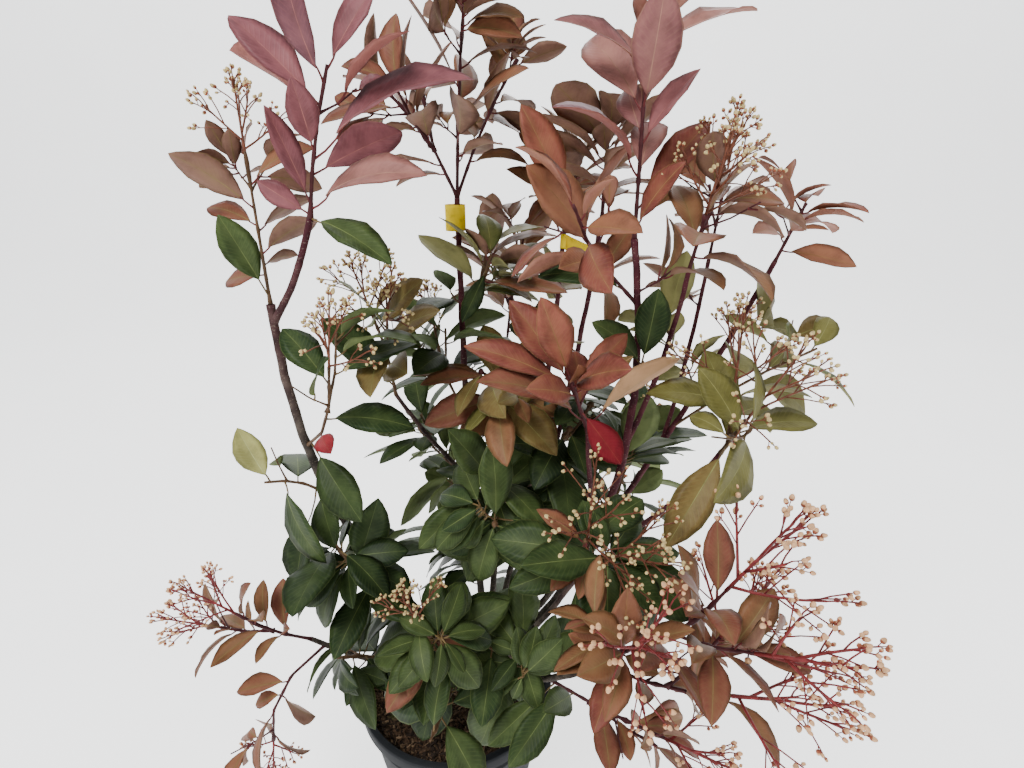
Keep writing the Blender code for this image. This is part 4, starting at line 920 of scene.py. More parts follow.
def grow_finer(name, mass, rng):
    """Fine twigs on a mass's stem and twigs, and small leaves on all of them."""
    shoot, _, stem, radii, twigs, heads, leaves = mass
    low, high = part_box(name)
    own = (name + " twigs",)
    branches = [stem] + twigs
    fine = []
    for k in range(1 + shoot.leaves // 4):
        branch = rng.choice(branches)
        point, heading = along(branch, rng.uniform(*FINE_STRETCH))
        side = beside(heading, rng.uniform(0, 2 * math.pi))
        out = aimed(heading, side, FINE_AIM)
        twig = bowed(point, point + out * rng.uniform(*FINE_REACH), FINE_BOW, 2)
        shape = tube(twig, [FINE_CLEAR] * 3)
        if within(shape, low, high) and space.free(shape, own):
            space.take(tube(twig, (*FINE_RADII, FINE_RADII[1])), own[0])
            fine.append(twig)
    small = []
    stem_start = TIP_START if shoot.at == 1 else SIDE_START
    share_kept = AIRY_SHARE if name in AIRY else 1
    for k in range(round(shoot.leaves * FINE_SHARES[shoot.tint] * share_kept)):
        branch = rng.choice(branches + 2 * fine)
        first = stem_start if branch is stem else TWIG_START
        for attempt in range(LEAF_TRIES):
            share = rng.uniform(first, 0.98)
            point, heading = along(branch, share)
            finer = shoot._replace(leaf=shoot.leaf * rng.uniform(*SMALL_LEAF))
            if heads and branch is stem and share > YOUNG_START:
                finer = finer._replace(tint=YOUNGER.get(shoot.tint, shoot.tint))
            leaf = grown_leaf(rng, finer, point, heading, rng.uniform(0, 2 * math.pi), share)
            shape = leaf_shape(leaf)
            if hides_mix(leaf) or not within(shape, low, high):
                continue
            if space.free(leaf_shape(leaf, FINE_ROOM), own):
                space.take(shape, name)
                small.append(leaf)
                break
    return fine, small


fine_twigs, small_leaves = {}, {}
for number, (name, mass) in enumerate(masses.items()):
    fine_twigs[name], small_leaves[name] = grow_finer(name, mass, random.Random(FINE_SEED + number))
print("fine twigs:", sum(map(len, fine_twigs.values())))
print("small leaves:", sum(map(len, small_leaves.values())))

# %% [markdown]
# Old stems also sprout straight from the bark: a fine twig with a few leaves at its tip. They fill the
# middle of the crown behind the front stems, where no mass reaches.

# %% Sprouts on the stems
# The share of its limb that each sprout leaves at, its tint, and how many leaves it may have
SPROUTS = {
    "stem_right": ((0.60, "green", 5), (0.68, "olive", 4), (0.80, "green", 3), (0.92, "bronze", 3)),
    "stem_far_right": ((0.44, "deep", 5), (0.54, "green", 5), (0.63, "olive", 5), (0.74, "olive", 4),
                       (0.87, "olive", 3)),
    "bough_far_top": ((0.45, "olive", 4), (0.75, "bronze", 4)),
    "bough_right_flower": ((0.65, "olive", 2),),
    "stem_middle": ((0.45, "deep", 5), (0.62, "green", 5), (0.74, "olive", 4), (0.88, "bronze", 3)),
    "stem_back_right": ((0.55, "deep", 5), (0.70, "green", 5), (0.84, "olive", 4)),
    "stem_centre": ((0.50, "deep", 5), (0.64, "green", 4), (0.80, "deep", 4)),
    "stem_back": ((0.62, "deep", 5),),
    "stem_left": ((0.40, "deep", 3),),
}
SPROUT_TWIG = (0.022, 0.045)
SPROUT_LEAF = 0.072
SPROUT_AIM = (0.5, 1, 0.1)
SPROUT_START = 0.55
SPROUT_SEED = 6000


def grow_sprout(limb, at, tint, count, rng):
    """A fine twig straight from a limb, with a few leaves round its tip."""
    own = (limb, "sprout twigs")
    model = next(shoot for shoot in SHOOTS if shoot.tint == tint)._replace(leaf=SPROUT_LEAF)
    point, heading = along(lines[limb][0], at)
    for attempt in range(LEAF_TRIES):
        side = beside(heading, rng.uniform(0, 2 * math.pi))
        out = aimed(heading, side, SPROUT_AIM)
        twig = bowed(point, point + out * rng.uniform(*SPROUT_TWIG), FINE_BOW, 2)
        if space.free(tube(twig, [FINE_CLEAR] * 3), own):
            break
    else:
        return [], []
    space.take(tube(twig, (*FINE_RADII, FINE_RADII[1])), own[1])
    leaves = []
    for k in range(count):
        for attempt in range(LEAF_TRIES):
            share = rng.uniform(SPROUT_START, 0.99)
            root, ahead = along(twig, share)
            leaf = grown_leaf(rng, model, root, ahead, rng.uniform(0, 2 * math.pi), share)
            if not hides_mix(leaf) and space.free(leaf_shape(leaf, FINE_ROOM), own[1:]):
                space.take(leaf_shape(leaf), "sprout leaves")
                leaves.append(leaf)
                break
    return twig, leaves


sprout_rows = [(limb, *row) for limb, rows in SPROUTS.items() for row in rows]
sprouts = [grow_sprout(*row, random.Random(SPROUT_SEED + k)) for k, row in enumerate(sprout_rows)]
sprouts = [(twig, leaves) for twig, leaves in sprouts if leaves]
print("sprouts:", len(sprouts), "with", sum(len(leaves) for twig, leaves in sprouts), "leaves")

# %% [markdown]
# The leaves of a mass and of a sprout make a spray each. A tint is plain, but it has its place: three
# masses show some leaves in another tint, as every leaf, every second or every third of the spray.

# %% Sprays and their tints
OTHER_TINTS = {"flower_left": ("bronze", 1), "bronze_middle": ("olive", 2), "spray_centre": ("bronze", 3)}
sprays = []
for name, mass in masses.items():
    own_tint = mass[0].tint
    tint, step = OTHER_TINTS.get(name, (own_tint, 1))
    spray = mass[-1] + small_leaves[name]
    for k in range(0, len(spray), step):
        if spray[k].tint == own_tint:
            spray[k] = spray[k]._replace(tint=tint)
    sprays.append(spray)
sprays += [leaves for twig, leaves in sprouts]
print("all leaves:", sum(map(len, sprays)))

# %% [markdown]
# ## Many small things in one mesh
#
# A plant has hundreds of leaves and thousands of buds. As separate objects they would be slow, so each
# kind is gathered in a heap and becomes one joined mesh. A heap keeps points, faces, the material slot
# of each face, and a place on a flat map for each point.

# %% Heaps
FLAT_MAP = "flat map"


class Heap:
    """Shapes gathered into one joined mesh."""

    def __init__(self):
        self.points = []
        self.faces = []
        self.slots = []
        self.flat = []

    def add(self, points, faces, slots=None, flat=None):
        first = len(self.points)
        self.points += [tuple(point) for point in points]
        self.faces += [tuple(first + corner for corner in face) for face in faces]
        self.slots += slots if slots is not None else [0] * len(faces)
        self.flat += flat if flat is not None else [(0.5, 0.5)] * len(points)

    def add_tube(self, line, radii, sides, slot=0):
        points, faces = tube(line, radii, sides)
        self.add(points, faces, [slot] * len(faces))

    def mesh(self, name, materials):
        mesh = bpy.data.meshes.new(name)
        mesh.from_pydata(self.points, [], self.faces)
        mesh.polygons.foreach_set("material_index", self.slots)
        corners = np.empty(len(mesh.loops), int)
        mesh.loops.foreach_get("vertex_index", corners)
        layer = mesh.uv_layers.new(name=FLAT_MAP)
        layer.data.foreach_set("uv", np.array(self.flat, float)[corners].ravel())
        for material in materials:
            mesh.materials.append(material)
        mesh.polygons.foreach_set("use_smooth", [True] * len(self.faces))
        mesh.update()
        return mesh

# %% Pieces
def hand_over(piece, slot, *nodes):
    """Let a piece ride on the plant, and stand for the solids that are named."""
    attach(piece, "root")
    if nodes:
        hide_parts(*nodes)
    count = sum(len(face.vertices) - 2 for face in piece.data.polygons)
    print(piece.name, "has", count, "triangles")


def add_piece(name, mesh, slot, *nodes):
    """A finished mesh as a piece."""
    piece = bpy.data.objects.new(name, mesh)
    bpy.context.scene.collection.objects.link(piece)
    hand_over(piece, slot, *nodes)


def finish_piece(thing, name, slot, materials, *nodes):
    """Give a modelled object its name, finishes and smooth shading, and make it a piece."""
    thing.name = name
    thing.data.name = name
    for material in materials:
        thing.data.materials.append(material)
    for face in thing.data.polygons:
        face.use_smooth = True
    hand_over(thing, slot, *nodes)

# %% [markdown]
# Some shapes start as a primitive that is worked on in edit mode. An operator acts on all that is
# selected, so everything is deselected before a new object is made, and one object is picked alone
# before an operator works on it.

# %% Working on one object
def edit():
    bpy.ops.object.mode_set(mode="EDIT")


def leave_edit():
    bpy.ops.object.mode_set(mode="OBJECT")


def deselect():
    bpy.ops.object.select_all(action="DESELECT")


def select_only(thing):
    deselect()
    thing.select_set(True)
    bpy.context.view_layer.objects.active = thing


def apply_modifier(thing, kind, **settings):
    modifier = thing.modifiers.new(kind.lower(), kind)
    for key, value in settings.items():
        setattr(modifier, key, value)
    select_only(thing)
    bpy.ops.object.modifier_apply(modifier=modifier.name)


def join_all(things):
    """Join objects into the first one."""
    select_only(things[0])
    for thing in things:
        thing.select_set(True)
    bpy.ops.object.join()
    return things[0]


def take_shape():
    """The points and faces of the object just made, which is then removed."""
    thing = bpy.context.object
    points = [vertex.co.copy() for vertex in thing.data.vertices]
    faces = [tuple(face.vertices) for face in thing.data.polygons]
    bpy.data.objects.remove(thing)
    return points, faces

# %% [markdown]
# ## The pattern of one leaf
#
# A leaf of this shrub is leathery, widest past its middle, folded along a pale midrib and bent down
# towards its tip. It could be a flat card with a picture, but then its edge and its back would be
# wrong from close by. Here it is a thin closed blade of about eighty faces. The pattern is a ring of
# ten points, extruded row by row: six points across the upper face and four across the underside, two
# of them under the midrib. Each leaf then bends its own copy.

# %% Leaf pattern
LEAF_ROWS = (0.0, 0.06, 0.17, 0.32, 0.49, 0.66, 0.82, 0.94, 1.0)
RING = 10
FIRST_UNDER = 6
QUARTER = 0.55
UPPER, RIB, UNDER = range(3)
COLUMNS_ACROSS = (1, QUARTER, 0, 0, -QUARTER, -1, -QUARTER, 0, 0, QUARTER)
RIB_SIDES = (0, 0, 1, -1, 0, 0, 0, -1, 1, 0)
COLUMN_SLOTS = (UPPER, UPPER, RIB, UPPER, UPPER, UNDER, UNDER, RIB, UNDER, UNDER)

deselect()
bpy.ops.mesh.primitive_circle_add(vertices=RING, radius=1, fill_type="NGON")
edit()
bpy.ops.mesh.select_all(action="SELECT")
for row in LEAF_ROWS[1:]:
    bpy.ops.mesh.extrude_region_move(TRANSFORM_OT_translate={"value": (0, 0, 1)})
bpy.ops.mesh.select_all(action="SELECT")
bpy.ops.mesh.normals_make_consistent(inside=False)
leave_edit()
pattern_points, pattern_quads = take_shape()
columns = np.array([round(math.atan2(-point.x, point.y) * RING / (2 * math.pi)) % RING
                    for point in pattern_points])
PATTERN_T = np.array(LEAF_ROWS)[[round(point.z) for point in pattern_points]]
PATTERN_SIDE = np.array(COLUMNS_ACROSS)[columns]
PATTERN_RIB = np.array(RIB_SIDES)[columns]
PATTERN_BACK = columns >= FIRST_UNDER


def from_inner(face):
    """A face that starts at its inner near corner. A bent quad is cut from its first corner when it is
    drawn, so both sides of the blade are then cut alike."""
    first = min(range(len(face)), key=lambda i: (abs(PATTERN_SIDE[face[i]]), PATTERN_T[face[i]]))
    return face[first:] + face[:first]


PATTERN_FACES, PATTERN_SLOTS = [], []
for face in pattern_quads:
    around = sorted(set(columns[corner] for corner in face))
    strip = RING - 1 if around == [0, RING - 1] else around[0]
    PATTERN_FACES.append(from_inner(face))
    PATTERN_SLOTS.append(COLUMN_SLOTS[strip] if len(around) == 2 else UNDER)
PATTERN_FLAT = [(0.5 + 0.5 * side, t) for side, t in zip(PATTERN_SIDE, PATTERN_T)]
print("faces of the leaf pattern:", len(PATTERN_FACES))

# %% [markdown]
# A leaf bends its copy in four steps. The rows follow the arch that the solid has. Each row is turned a
# little more than the one before, as a leaf twists towards the light. The sides rise from the midrib,
# and a slight wave runs along the margin. Numbers for all points are worked out at once as arrays,
# because there are hundreds of leaves.

# %% Bending a leaf
RIB_WIDTH = 0.0005
LEAST_HALF = 0.0004
UPPER_LIFT = 0.0002
RIB_DEPTH = 0.0010
ARCH = 1.15
FOLD_KEPT = 0.8
MOST_TWIST = 0.35
WAVES = (1.6, 2.6)
WAVE_HEIGHTS = (0.03, 0.08)


def bent_leaf(leaf, rng):
    """The points of the pattern, bent, folded, twisted and waved as one leaf."""
    t = PATTERN_T
    share = np.sin(np.pi * np.clip(t, 1e-6, 1 - 1e-6) ** OUTLINE_SKEW) ** OUTLINE_FULL
    half = np.maximum(leaf.width / 2 * share, LEAST_HALF)
    reach = PATTERN_SIDE * half + PATTERN_RIB * np.minimum(RIB_WIDTH * (1.2 - t), 0.4 * half)
    part = np.abs(reach) / half
    bend = leaf.droop * t
    run = leaf.length / leaf.droop
    out, up = np.array(leaf.out), np.array(leaf.up)
    across = np.cross(up, out)
    middle = np.array(leaf.root) + np.outer(leaf.stalk + run * np.sin(bend), out)
    middle -= np.outer(run * (1 - np.cos(bend)), up)
    rise = np.outer(np.cos(bend), up) + np.outer(np.sin(bend), out)
    turn = rng.uniform(-MOST_TWIST, MOST_TWIST) * t
    side = np.outer(np.cos(turn), across) + np.sin(turn)[:, None] * rise
    rise = np.cos(turn)[:, None] * rise - np.outer(np.sin(turn), across)
    wave = np.sin(2 * np.pi * (rng.uniform(*WAVES) * t + 0.25 * np.sign(PATTERN_SIDE)) + rng.uniform(0, 6))
    fold = leaf.fold * FOLD_KEPT
    height = half * math.sin(fold) * part ** ARCH
    height += rng.uniform(*WAVE_HEIGHTS) * half * wave * part * np.sin(np.pi * t)
    inner = (part > 0.1) & (part < 0.9)
    under = np.where(PATTERN_RIB == 0, -UPPER_LIFT, -RIB_DEPTH * (1.1 - 0.7 * t))
    height += np.where(PATTERN_BACK, under, UPPER_LIFT * inner)
    return middle + (reach * math.cos(fold))[:, None] * side + height[:, None] * rise

# %% [markdown]
# ## Leaf finishes
#
# The young leaves at the tips are dusky red, lower ones pass through bronze and olive to deep green,
# and the lowest are the darkest. Each spray has one tint, in three close shades. A leaf's back is paler
# and brighter than its face, and the midrib is paler still. The finish mixes close shades by a soft
# noise, fades to the rib's colour beside the midrib and along the margin, and draws fine side veins
# with a slight tint and a bump. Leathery leaves are only a little shiny, so the sheen is set low:
# a higher one would show the pale surroundings and turn dark leaves grey.

# %% Finishes from nodes
SHEEN_LEVEL = 0.12


def shade(color, factor):
    return tuple(min(1.0, part * factor) for part in color)


class Finish:
    """A material, with short ways to add and join its nodes."""

    def __init__(self, name, roughness, sheen=SHEEN_LEVEL):
        self.material = bpy.data.materials.new(name)
        self.material.use_nodes = True
        self.nodes = self.material.node_tree.nodes
        self.shader = self.nodes["Principled BSDF"].inputs
        self.shader["Roughness"].default_value = roughness
        self.shader["Specular IOR Level"].default_value = sheen

    def put(self, value, socket):
        """Join another node's output to a socket, or set the socket to a number or a colour."""
        if isinstance(value, (int, float)):
            socket.default_value = value
        elif isinstance(value, tuple):
            socket.default_value = (*value, 1)
        else:
            self.material.node_tree.links.new(value, socket)

    def clouds(self, scale, detail=3.0, stretch=(1, 1, 1)):
        """A noise on the piece's own coordinates."""
        place = self.nodes.new("ShaderNodeTexCoord")
        mapping = self.nodes.new("ShaderNodeMapping")
        mapping.inputs["Scale"].default_value = stretch
        texture = self.nodes.new("ShaderNodeTexNoise")
        texture.inputs["Scale"].default_value = scale
        texture.inputs["Detail"].default_value = detail
        self.put(place.outputs["Object"], mapping.inputs["Vector"])
        self.put(mapping.outputs["Vector"], texture.inputs["Vector"])
        return texture.outputs["Fac"]

    def split(self, output):
        """The X, Y and Z of a place."""
        node = self.nodes.new("ShaderNodeSeparateXYZ")
        self.put(output, node.inputs["Vector"])
        return node.outputs

    def ramp(self, factor, *stops):
        """Colours from a factor, by stops of a place and a colour."""
        node = self.nodes.new("ShaderNodeValToRGB")
        self.put(factor, node.inputs["Fac"])
        while len(node.color_ramp.elements) < len(stops):
            node.color_ramp.elements.new(0.5)
        for element, (place, color) in zip(node.color_ramp.elements, stops):
            element.position = place
            element.color = (*color, 1)
        return node.outputs["Color"]

    def spread(self, value, **limits):
        """A value carried from one span of numbers to another."""
        node = self.nodes.new("ShaderNodeMapRange")
        for name, limit in limits.items():
            node.inputs[name.replace("_", " ").title()].default_value = limit
        self.put(value, node.inputs["Value"])
        return node.outputs["Result"]

    def math(self, operation, *values):
        node = self.nodes.new("ShaderNodeMath")
        node.operation = operation
        for value, socket in zip(values, node.inputs):
            self.put(value, socket)
        return node.outputs["Value"]

    def mix(self, factor, first, second):
        node = self.nodes.new("ShaderNodeMix")
        node.data_type = "RGBA"
        self.put(factor, node.inputs["Factor"])
        self.put(first, node.inputs[6])
        self.put(second, node.inputs[7])
        return node.outputs[2]

    def color(self, output):
        self.put(output, self.shader["Base Color"])

    def bump(self, height, strength, depth):
        node = self.nodes.new("ShaderNodeBump")
        node.inputs["Strength"].default_value = strength
        node.inputs["Distance"].default_value = depth
        self.put(height, node.inputs["Height"])
        self.put(node.outputs["Normal"], self.shader["Normal"])

# %% Leaf finish
MOTTLE_SCALE = 38
MOTTLE_DETAIL = 6
MOTTLE = 0.62
RIB_GLOW_FALL = 4.5
VEINS = 8
VEIN_SLANT = 1.6
VEIN_SHARPNESS = 9.0
VEIN_STRENGTH = 0.18
VEIN_DEPTH = 0.0005
VEIN_TINT = 0.16
MARGIN_START = 0.47
MARGIN_TINT = 0.6


def leaf_finish(name, color, rib_color, roughness, glow):
    """A leaf's face or back: close shades, a glow beside the midrib and fine side veins."""
    finish = Finish(name, roughness)
    mottle = finish.clouds(MOTTLE_SCALE, MOTTLE_DETAIL)
    mottle.node.inputs["Roughness"].default_value = MOTTLE
    tinge = tuple(0.9 * part + 0.25 * rib for part, rib in zip(color, rib_color))
    base = finish.ramp(mottle, (0.36, shade(color, 0.68)), (0.5, color), (0.66, tinge))
    flat = finish.nodes.new("ShaderNodeUVMap")
    flat.uv_map = FLAT_MAP
    across, ahead, _ = finish.split(flat.outputs["UV"])
    off = finish.math("ABSOLUTE", finish.math("SUBTRACT", across, 0.5))
    near = finish.math("MULTIPLY_ADD", off, -RIB_GLOW_FALL, 1.0)
    near.node.use_clamp = True
    margin = finish.math("GREATER_THAN", off, MARGIN_START)
    slant = finish.math("MULTIPLY", off, VEIN_SLANT * 2)
    row = finish.math("SUBTRACT", finish.math("MULTIPLY", ahead, VEINS), slant)
    wave = finish.math("SINE", finish.math("MULTIPLY", row, 2 * math.pi))
    vein = finish.math("POWER", finish.math("ABSOLUTE", wave), VEIN_SHARPNESS)
    lit = finish.math("MAXIMUM", finish.math("MULTIPLY", near, glow),
                      finish.math("MULTIPLY", margin, MARGIN_TINT))
    lit = finish.math("MAXIMUM", lit, finish.math("MULTIPLY", vein, VEIN_TINT))
    finish.color(finish.mix(lit, base, rib_color))
    finish.bump(vein, VEIN_STRENGTH, VEIN_DEPTH)
    return finish.material


def plain_finish(name, color, roughness, scale=60):
    """A small thing's colour, in three close shades."""
    finish = Finish(name, roughness)
    grain = finish.clouds(scale)
    finish.color(finish.ramp(grain, (0.35, shade(color, 0.72)), (0.5, color), (0.68, shade(color, 1.3))))
    finish.bump(grain, 0.2, 0.0004)
    return finish.material

# %% Leaf colours
# Three shades of the face, the back and the midrib, for each tint
LEAF_COLORS = {
    "wine": ((0.185, 0.063, 0.071), (0.135, 0.051, 0.062), (0.225, 0.080, 0.080),
             (0.280, 0.104, 0.086), (0.260, 0.096, 0.088)),
    "rose": ((0.260, 0.108, 0.092), (0.210, 0.080, 0.078), (0.300, 0.126, 0.100),
             (0.320, 0.140, 0.104), (0.310, 0.158, 0.112)),
    "coral": ((0.225, 0.069, 0.045), (0.170, 0.047, 0.035), (0.222, 0.088, 0.050),
              (0.275, 0.118, 0.084), (0.230, 0.120, 0.050)),
    "bronze": ((0.208, 0.078, 0.043), (0.172, 0.058, 0.038), (0.182, 0.080, 0.038),
               (0.208, 0.108, 0.078), (0.180, 0.126, 0.050)),
    "olive": ((0.122, 0.112, 0.030), (0.092, 0.108, 0.030), (0.150, 0.100, 0.034),
              (0.190, 0.178, 0.066), (0.200, 0.192, 0.064)),
    "green": ((0.026, 0.045, 0.013), (0.037, 0.057, 0.017), (0.020, 0.038, 0.012),
              (0.120, 0.150, 0.055), (0.105, 0.135, 0.042)),
    "deep": ((0.011, 0.022, 0.007), (0.017, 0.031, 0.009), (0.024, 0.039, 0.012),
             (0.085, 0.115, 0.042), (0.070, 0.095, 0.030)),
    "peach": ((0.110, 0.070, 0.024), (0.130, 0.085, 0.028), (0.150, 0.090, 0.030),
              (0.420, 0.240, 0.124), (0.360, 0.220, 0.108)),
    "crimson": ((0.215, 0.011, 0.020), (0.175, 0.010, 0.018), (0.240, 0.016, 0.023),
                (0.200, 0.016, 0.024), (0.230, 0.036, 0.030)),
    "lime": ((0.290, 0.276, 0.090), (0.240, 0.250, 0.072), (0.260, 0.270, 0.080),
             (0.320, 0.320, 0.130), (0.330, 0.340, 0.140)),
}
GREENS = ("olive", "green", "deep", "lime")
GLOWS = {"bronze": 0.38, "coral": 0.3, "peach": 0.4}
PLAIN_GLOW = 0.2
BACK_GLOW = 0.3
FACE_ROUGHNESS, RIB_ROUGHNESS, BACK_ROUGHNESS = 0.46, 0.5, 0.65
LEAF_SLOTS = {
    "wine": "wine_leaves", "rose": "rose_leaves", "coral": "coral_leaves", "bronze": "bronze_leaves",
    "olive": "olive_leaves", "green": "green_leaves", "deep": "deep_green_leaves",
    "peach": "coral_leaves", "crimson": "rose_leaves", "lime": "olive_leaves",
}


def leaf_finishes(tint):
    """The finishes of one tint's leaves: three faces, the midrib and the back."""
    *faces, back, rib = LEAF_COLORS[tint]
    glow = GLOWS.get(tint, PLAIN_GLOW)
    finishes = [leaf_finish(f"{tint} leaf {k + 1}", color, rib, FACE_ROUGHNESS, glow)
                for k, color in enumerate(faces)]
    finishes.append(plain_finish(f"{tint} midrib", rib, RIB_ROUGHNESS))
    finishes.append(leaf_finish(f"{tint} leaf back", back, rib, BACK_ROUGHNESS, BACK_GLOW))
    return finishes


print("tints of leaves:", len(LEAF_COLORS))

# %% [markdown]
# ## Leaves
#
# Every leaf of the solids and every small leaf is bent from the pattern, and put in the heap of its
# tint. Leaves of one spray mostly share a shade. Each heap stands for the solids of its tint.

# %% Leaves
LEAF_SEED = 2000
MIDRIB, BACK = 3, 4
SHADE_KEPT = 0.6
leaf_heaps = {tint: Heap() for tint in LEAF_COLORS}
for number, spray in enumerate(sprays):
    rng = random.Random(LEAF_SEED + number)
    main_shade = number % 3
    for leaf in spray:
        face = main_shade if rng.random() < SHADE_KEPT else rng.randrange(3)
        slots = [(face, MIDRIB, BACK)[slot] for slot in PATTERN_SLOTS]
        leaf_heaps[leaf.tint].add(bent_leaf(leaf, rng), PATTERN_FACES, slots, PATTERN_FLAT)
for tint, heap in leaf_heaps.items():
    nodes = [shoot.name for shoot in SHOOTS if shoot.tint == tint]
    add_piece("leaves_" + tint, heap.mesh("leaves_" + tint, leaf_finishes(tint)), LEAF_SLOTS[tint], *nodes)

# %% [markdown]
# ## Shoots, twigs and leaf stalks
#
# A young shoot is a smooth dark red rod, a little thicker at each leaf. It could be a plain tube, but
# then leaves would seem stuck on. So each shoot has a slight knot where a leaf leaves it, and each leaf
# has its own stalk, which runs on under the foot of the blade. Green leaves have paler stalks.

# %% Shoots and twigs
ROD_SIDES = 8
ROD_STEP = 0.006
KNOT = 0.0005
KNOT_REACH = 0.003
COLLAR = 0.0009
COLLAR_FALL = 0.004
SHARES_TRIED = 40


def rod(line, radii, knots, heap, slot=0):
    """A shoot or twig: a tube with a collar at its foot and a knot at each share in knots."""
    length = length_of(line)
    count = max(3, round(length / ROD_STEP))
    fine_line, fine_radii = [], []
    for i in range(count + 1):
        share = i / count
        fine_line.append(along(line, share)[0])
        radius = radii[0] + (radii[-1] - radii[0]) * share
        radius += COLLAR * math.exp(-share * length / COLLAR_FALL)
        radius += sum(KNOT * math.exp(-((share - knot) * length / KNOT_REACH) ** 2) for knot in knots)
        fine_radii.append(radius)
    heap.add_tube(fine_line, fine_radii, ROD_SIDES, slot)


def nearest_share(point, line):
    """The share of a line's length that lies nearest a point."""
    shares = [i / SHARES_TRIED for i in range(SHARES_TRIED + 1)]
    return min(shares, key=lambda share: (along(line, share)[0] - point).length)


rods = Heap()
for name, mass in masses.items():
    shoot, _, stem, radii, twigs, heads, leaves = mass
    green = int(shoot.tint in GREENS)
    roots = [leaf.root for leaf in leaves + small_leaves[name]]
    foot, _ = along(lines[shoot.parent][0], shoot.at)
    knots = [nearest_share(root, stem) for root in roots]
    rod([foot] + stem, [SHOOT_RADII[0]] + list(radii), knots, rods, green)
    for twig in twigs:
        rod(twig, TWIG_RADII, [nearest_share(root, twig) for root in roots], rods, green)
    for twig in fine_twigs[name]:
        rod(twig, FINE_RADII, [], rods, green)
for twig, spray in sprouts:
    knots = [nearest_share(leaf.root, twig) for leaf in spray]
    rod(twig, FINE_RADII, knots, rods, int(spray[0].tint in GREENS))
rod_finishes = [plain_finish("red shoot", (0.055, 0.015, 0.017), 0.5, 90),
                plain_finish("green shoot", (0.090, 0.050, 0.026), 0.5, 90)]
add_piece("shoots_and_twigs", rods.mesh("shoots_and_twigs", rod_finishes), "bark")

# %% Leaf stalks
STALK_SIDES = 5
STALK_RADII = (0.0013, 0.0010, 0.0009, 0.0008)
STALK_SAG = 0.08
STALK_SINK = 0.001
BLADE_HOLD = 0.06
BELOW_BLADE = 0.0006


def leaf_stalk(leaf, heap, slot):
    """A leaf's stalk, which sags a little and ends under the foot of the blade."""
    end = blade(leaf, BLADE_HOLD, 0, -BELOW_BLADE)
    start = leaf.root - leaf.out * STALK_SINK
    sag = leaf.up * (STALK_SAG * leaf.stalk)
    heap.add_tube([start, start.lerp(end, 0.35) - sag, start.lerp(end, 0.7) - sag, end],
                  STALK_RADII, STALK_SIDES, slot)


stalks = Heap()
for spray in sprays:
    for leaf in spray:
        leaf_stalk(leaf, stalks, int(leaf.tint in GREENS))
stalk_finishes = [plain_finish("red leaf stalk", (0.120, 0.026, 0.026), 0.45, 90),
                  plain_finish("green leaf stalk", (0.130, 0.085, 0.035), 0.45, 90)]
add_piece("leaf_stalks", stalks.mesh("leaf_stalks", stalk_finishes), "bark")

# %% [markdown]
# ## Flower heads
#
# A head is a flat-topped spray of small round buds. Each ray of the solids becomes a thin stalk that
# branches twice: side stalks leave it from its first third on, and each ends in a few short threads
# with a bud. The heads near the viewer have crimson stalks and larger, pinker buds. A bud is a small
# egg with a dark cup under it, modelled once from a coarse sphere and copied at each thread's end,
# turned to face outwards.

# %% Bud pattern
NEAR_BUD, FAR_BUD = 0.0021, 0.0017
BUD_LENGTH = 1.3
BUD_TAPER = 0.12
BUD_SEAT = 0.9
CUP_HEIGHT = -0.45
PETAL, CUP = range(2)
deselect()
bpy.ops.mesh.primitive_uv_sphere_add(segments=6, ring_count=5, radius=1)
edit()
bpy.ops.mesh.select_all(action="SELECT")
bpy.ops.transform.resize(value=(1, 1, BUD_LENGTH), center_override=(0, 0, 0))
leave_edit()
bud_points, BUD_FACES = take_shape()
BUD_POINTS = np.array([(p.x * (1 - BUD_TAPER * p.z), p.y * (1 - BUD_TAPER * p.z), p.z) for p in bud_points])
face_heights = [np.mean([BUD_POINTS[corner][2] for corner in face]) for face in BUD_FACES]
BUD_SLOTS = [CUP if height < CUP_HEIGHT else PETAL for height in face_heights]
print("faces of a bud:", len(BUD_FACES))


def add_bud(heap, point, heading, radius, petal, cup):
    """A bud whose cup sits on a thread's end."""
    across = heading.orthogonal().normalized()
    axes = np.array([across, heading.cross(across), heading])
    points = np.array(point) + radius * (BUD_POINTS + (0, 0, BUD_SEAT)) @ axes
    heap.add(points, BUD_FACES, [(petal, cup)[slot] for slot in BUD_SLOTS])

# %% Flower heads
HEAD_SEED = 3000
RAY_KEPT = 0.92
RAY_BOWS = (-0.05, 0.02)
SIDE_STALKS = 6
FIRST_SIDE = 0.36
SIDE_LEAN, SIDE_LEAN_FALL, SIDE_SPREAD = 58, 40, 8
SIDE_REACH, SIDE_REACH_FALL = 0.78, 0.50
SIDE_SIZES = (0.85, 1.15)
THREADS = 3
THREAD_LENGTHS = (0.0022, 0.0050)
THREAD_LEANS = (28, 60)
THREAD_TURN = 2.1
THREAD_GAP = 0.08
RAY_THICK = (0.0012, 0.0011, 0.0010, 0.0009, 0.0008)
AXIS_THICK = (0.0016, 0.0013, 0.0011)
SIDE_THICK = (0.0007, 0.00065, 0.0006)
THREAD_THICK = (0.00045, 0.00040)
SIDE_BOW = 0.0008
BUD_SIZES = (0.7, 1.15)
CUP_LOOK = 2


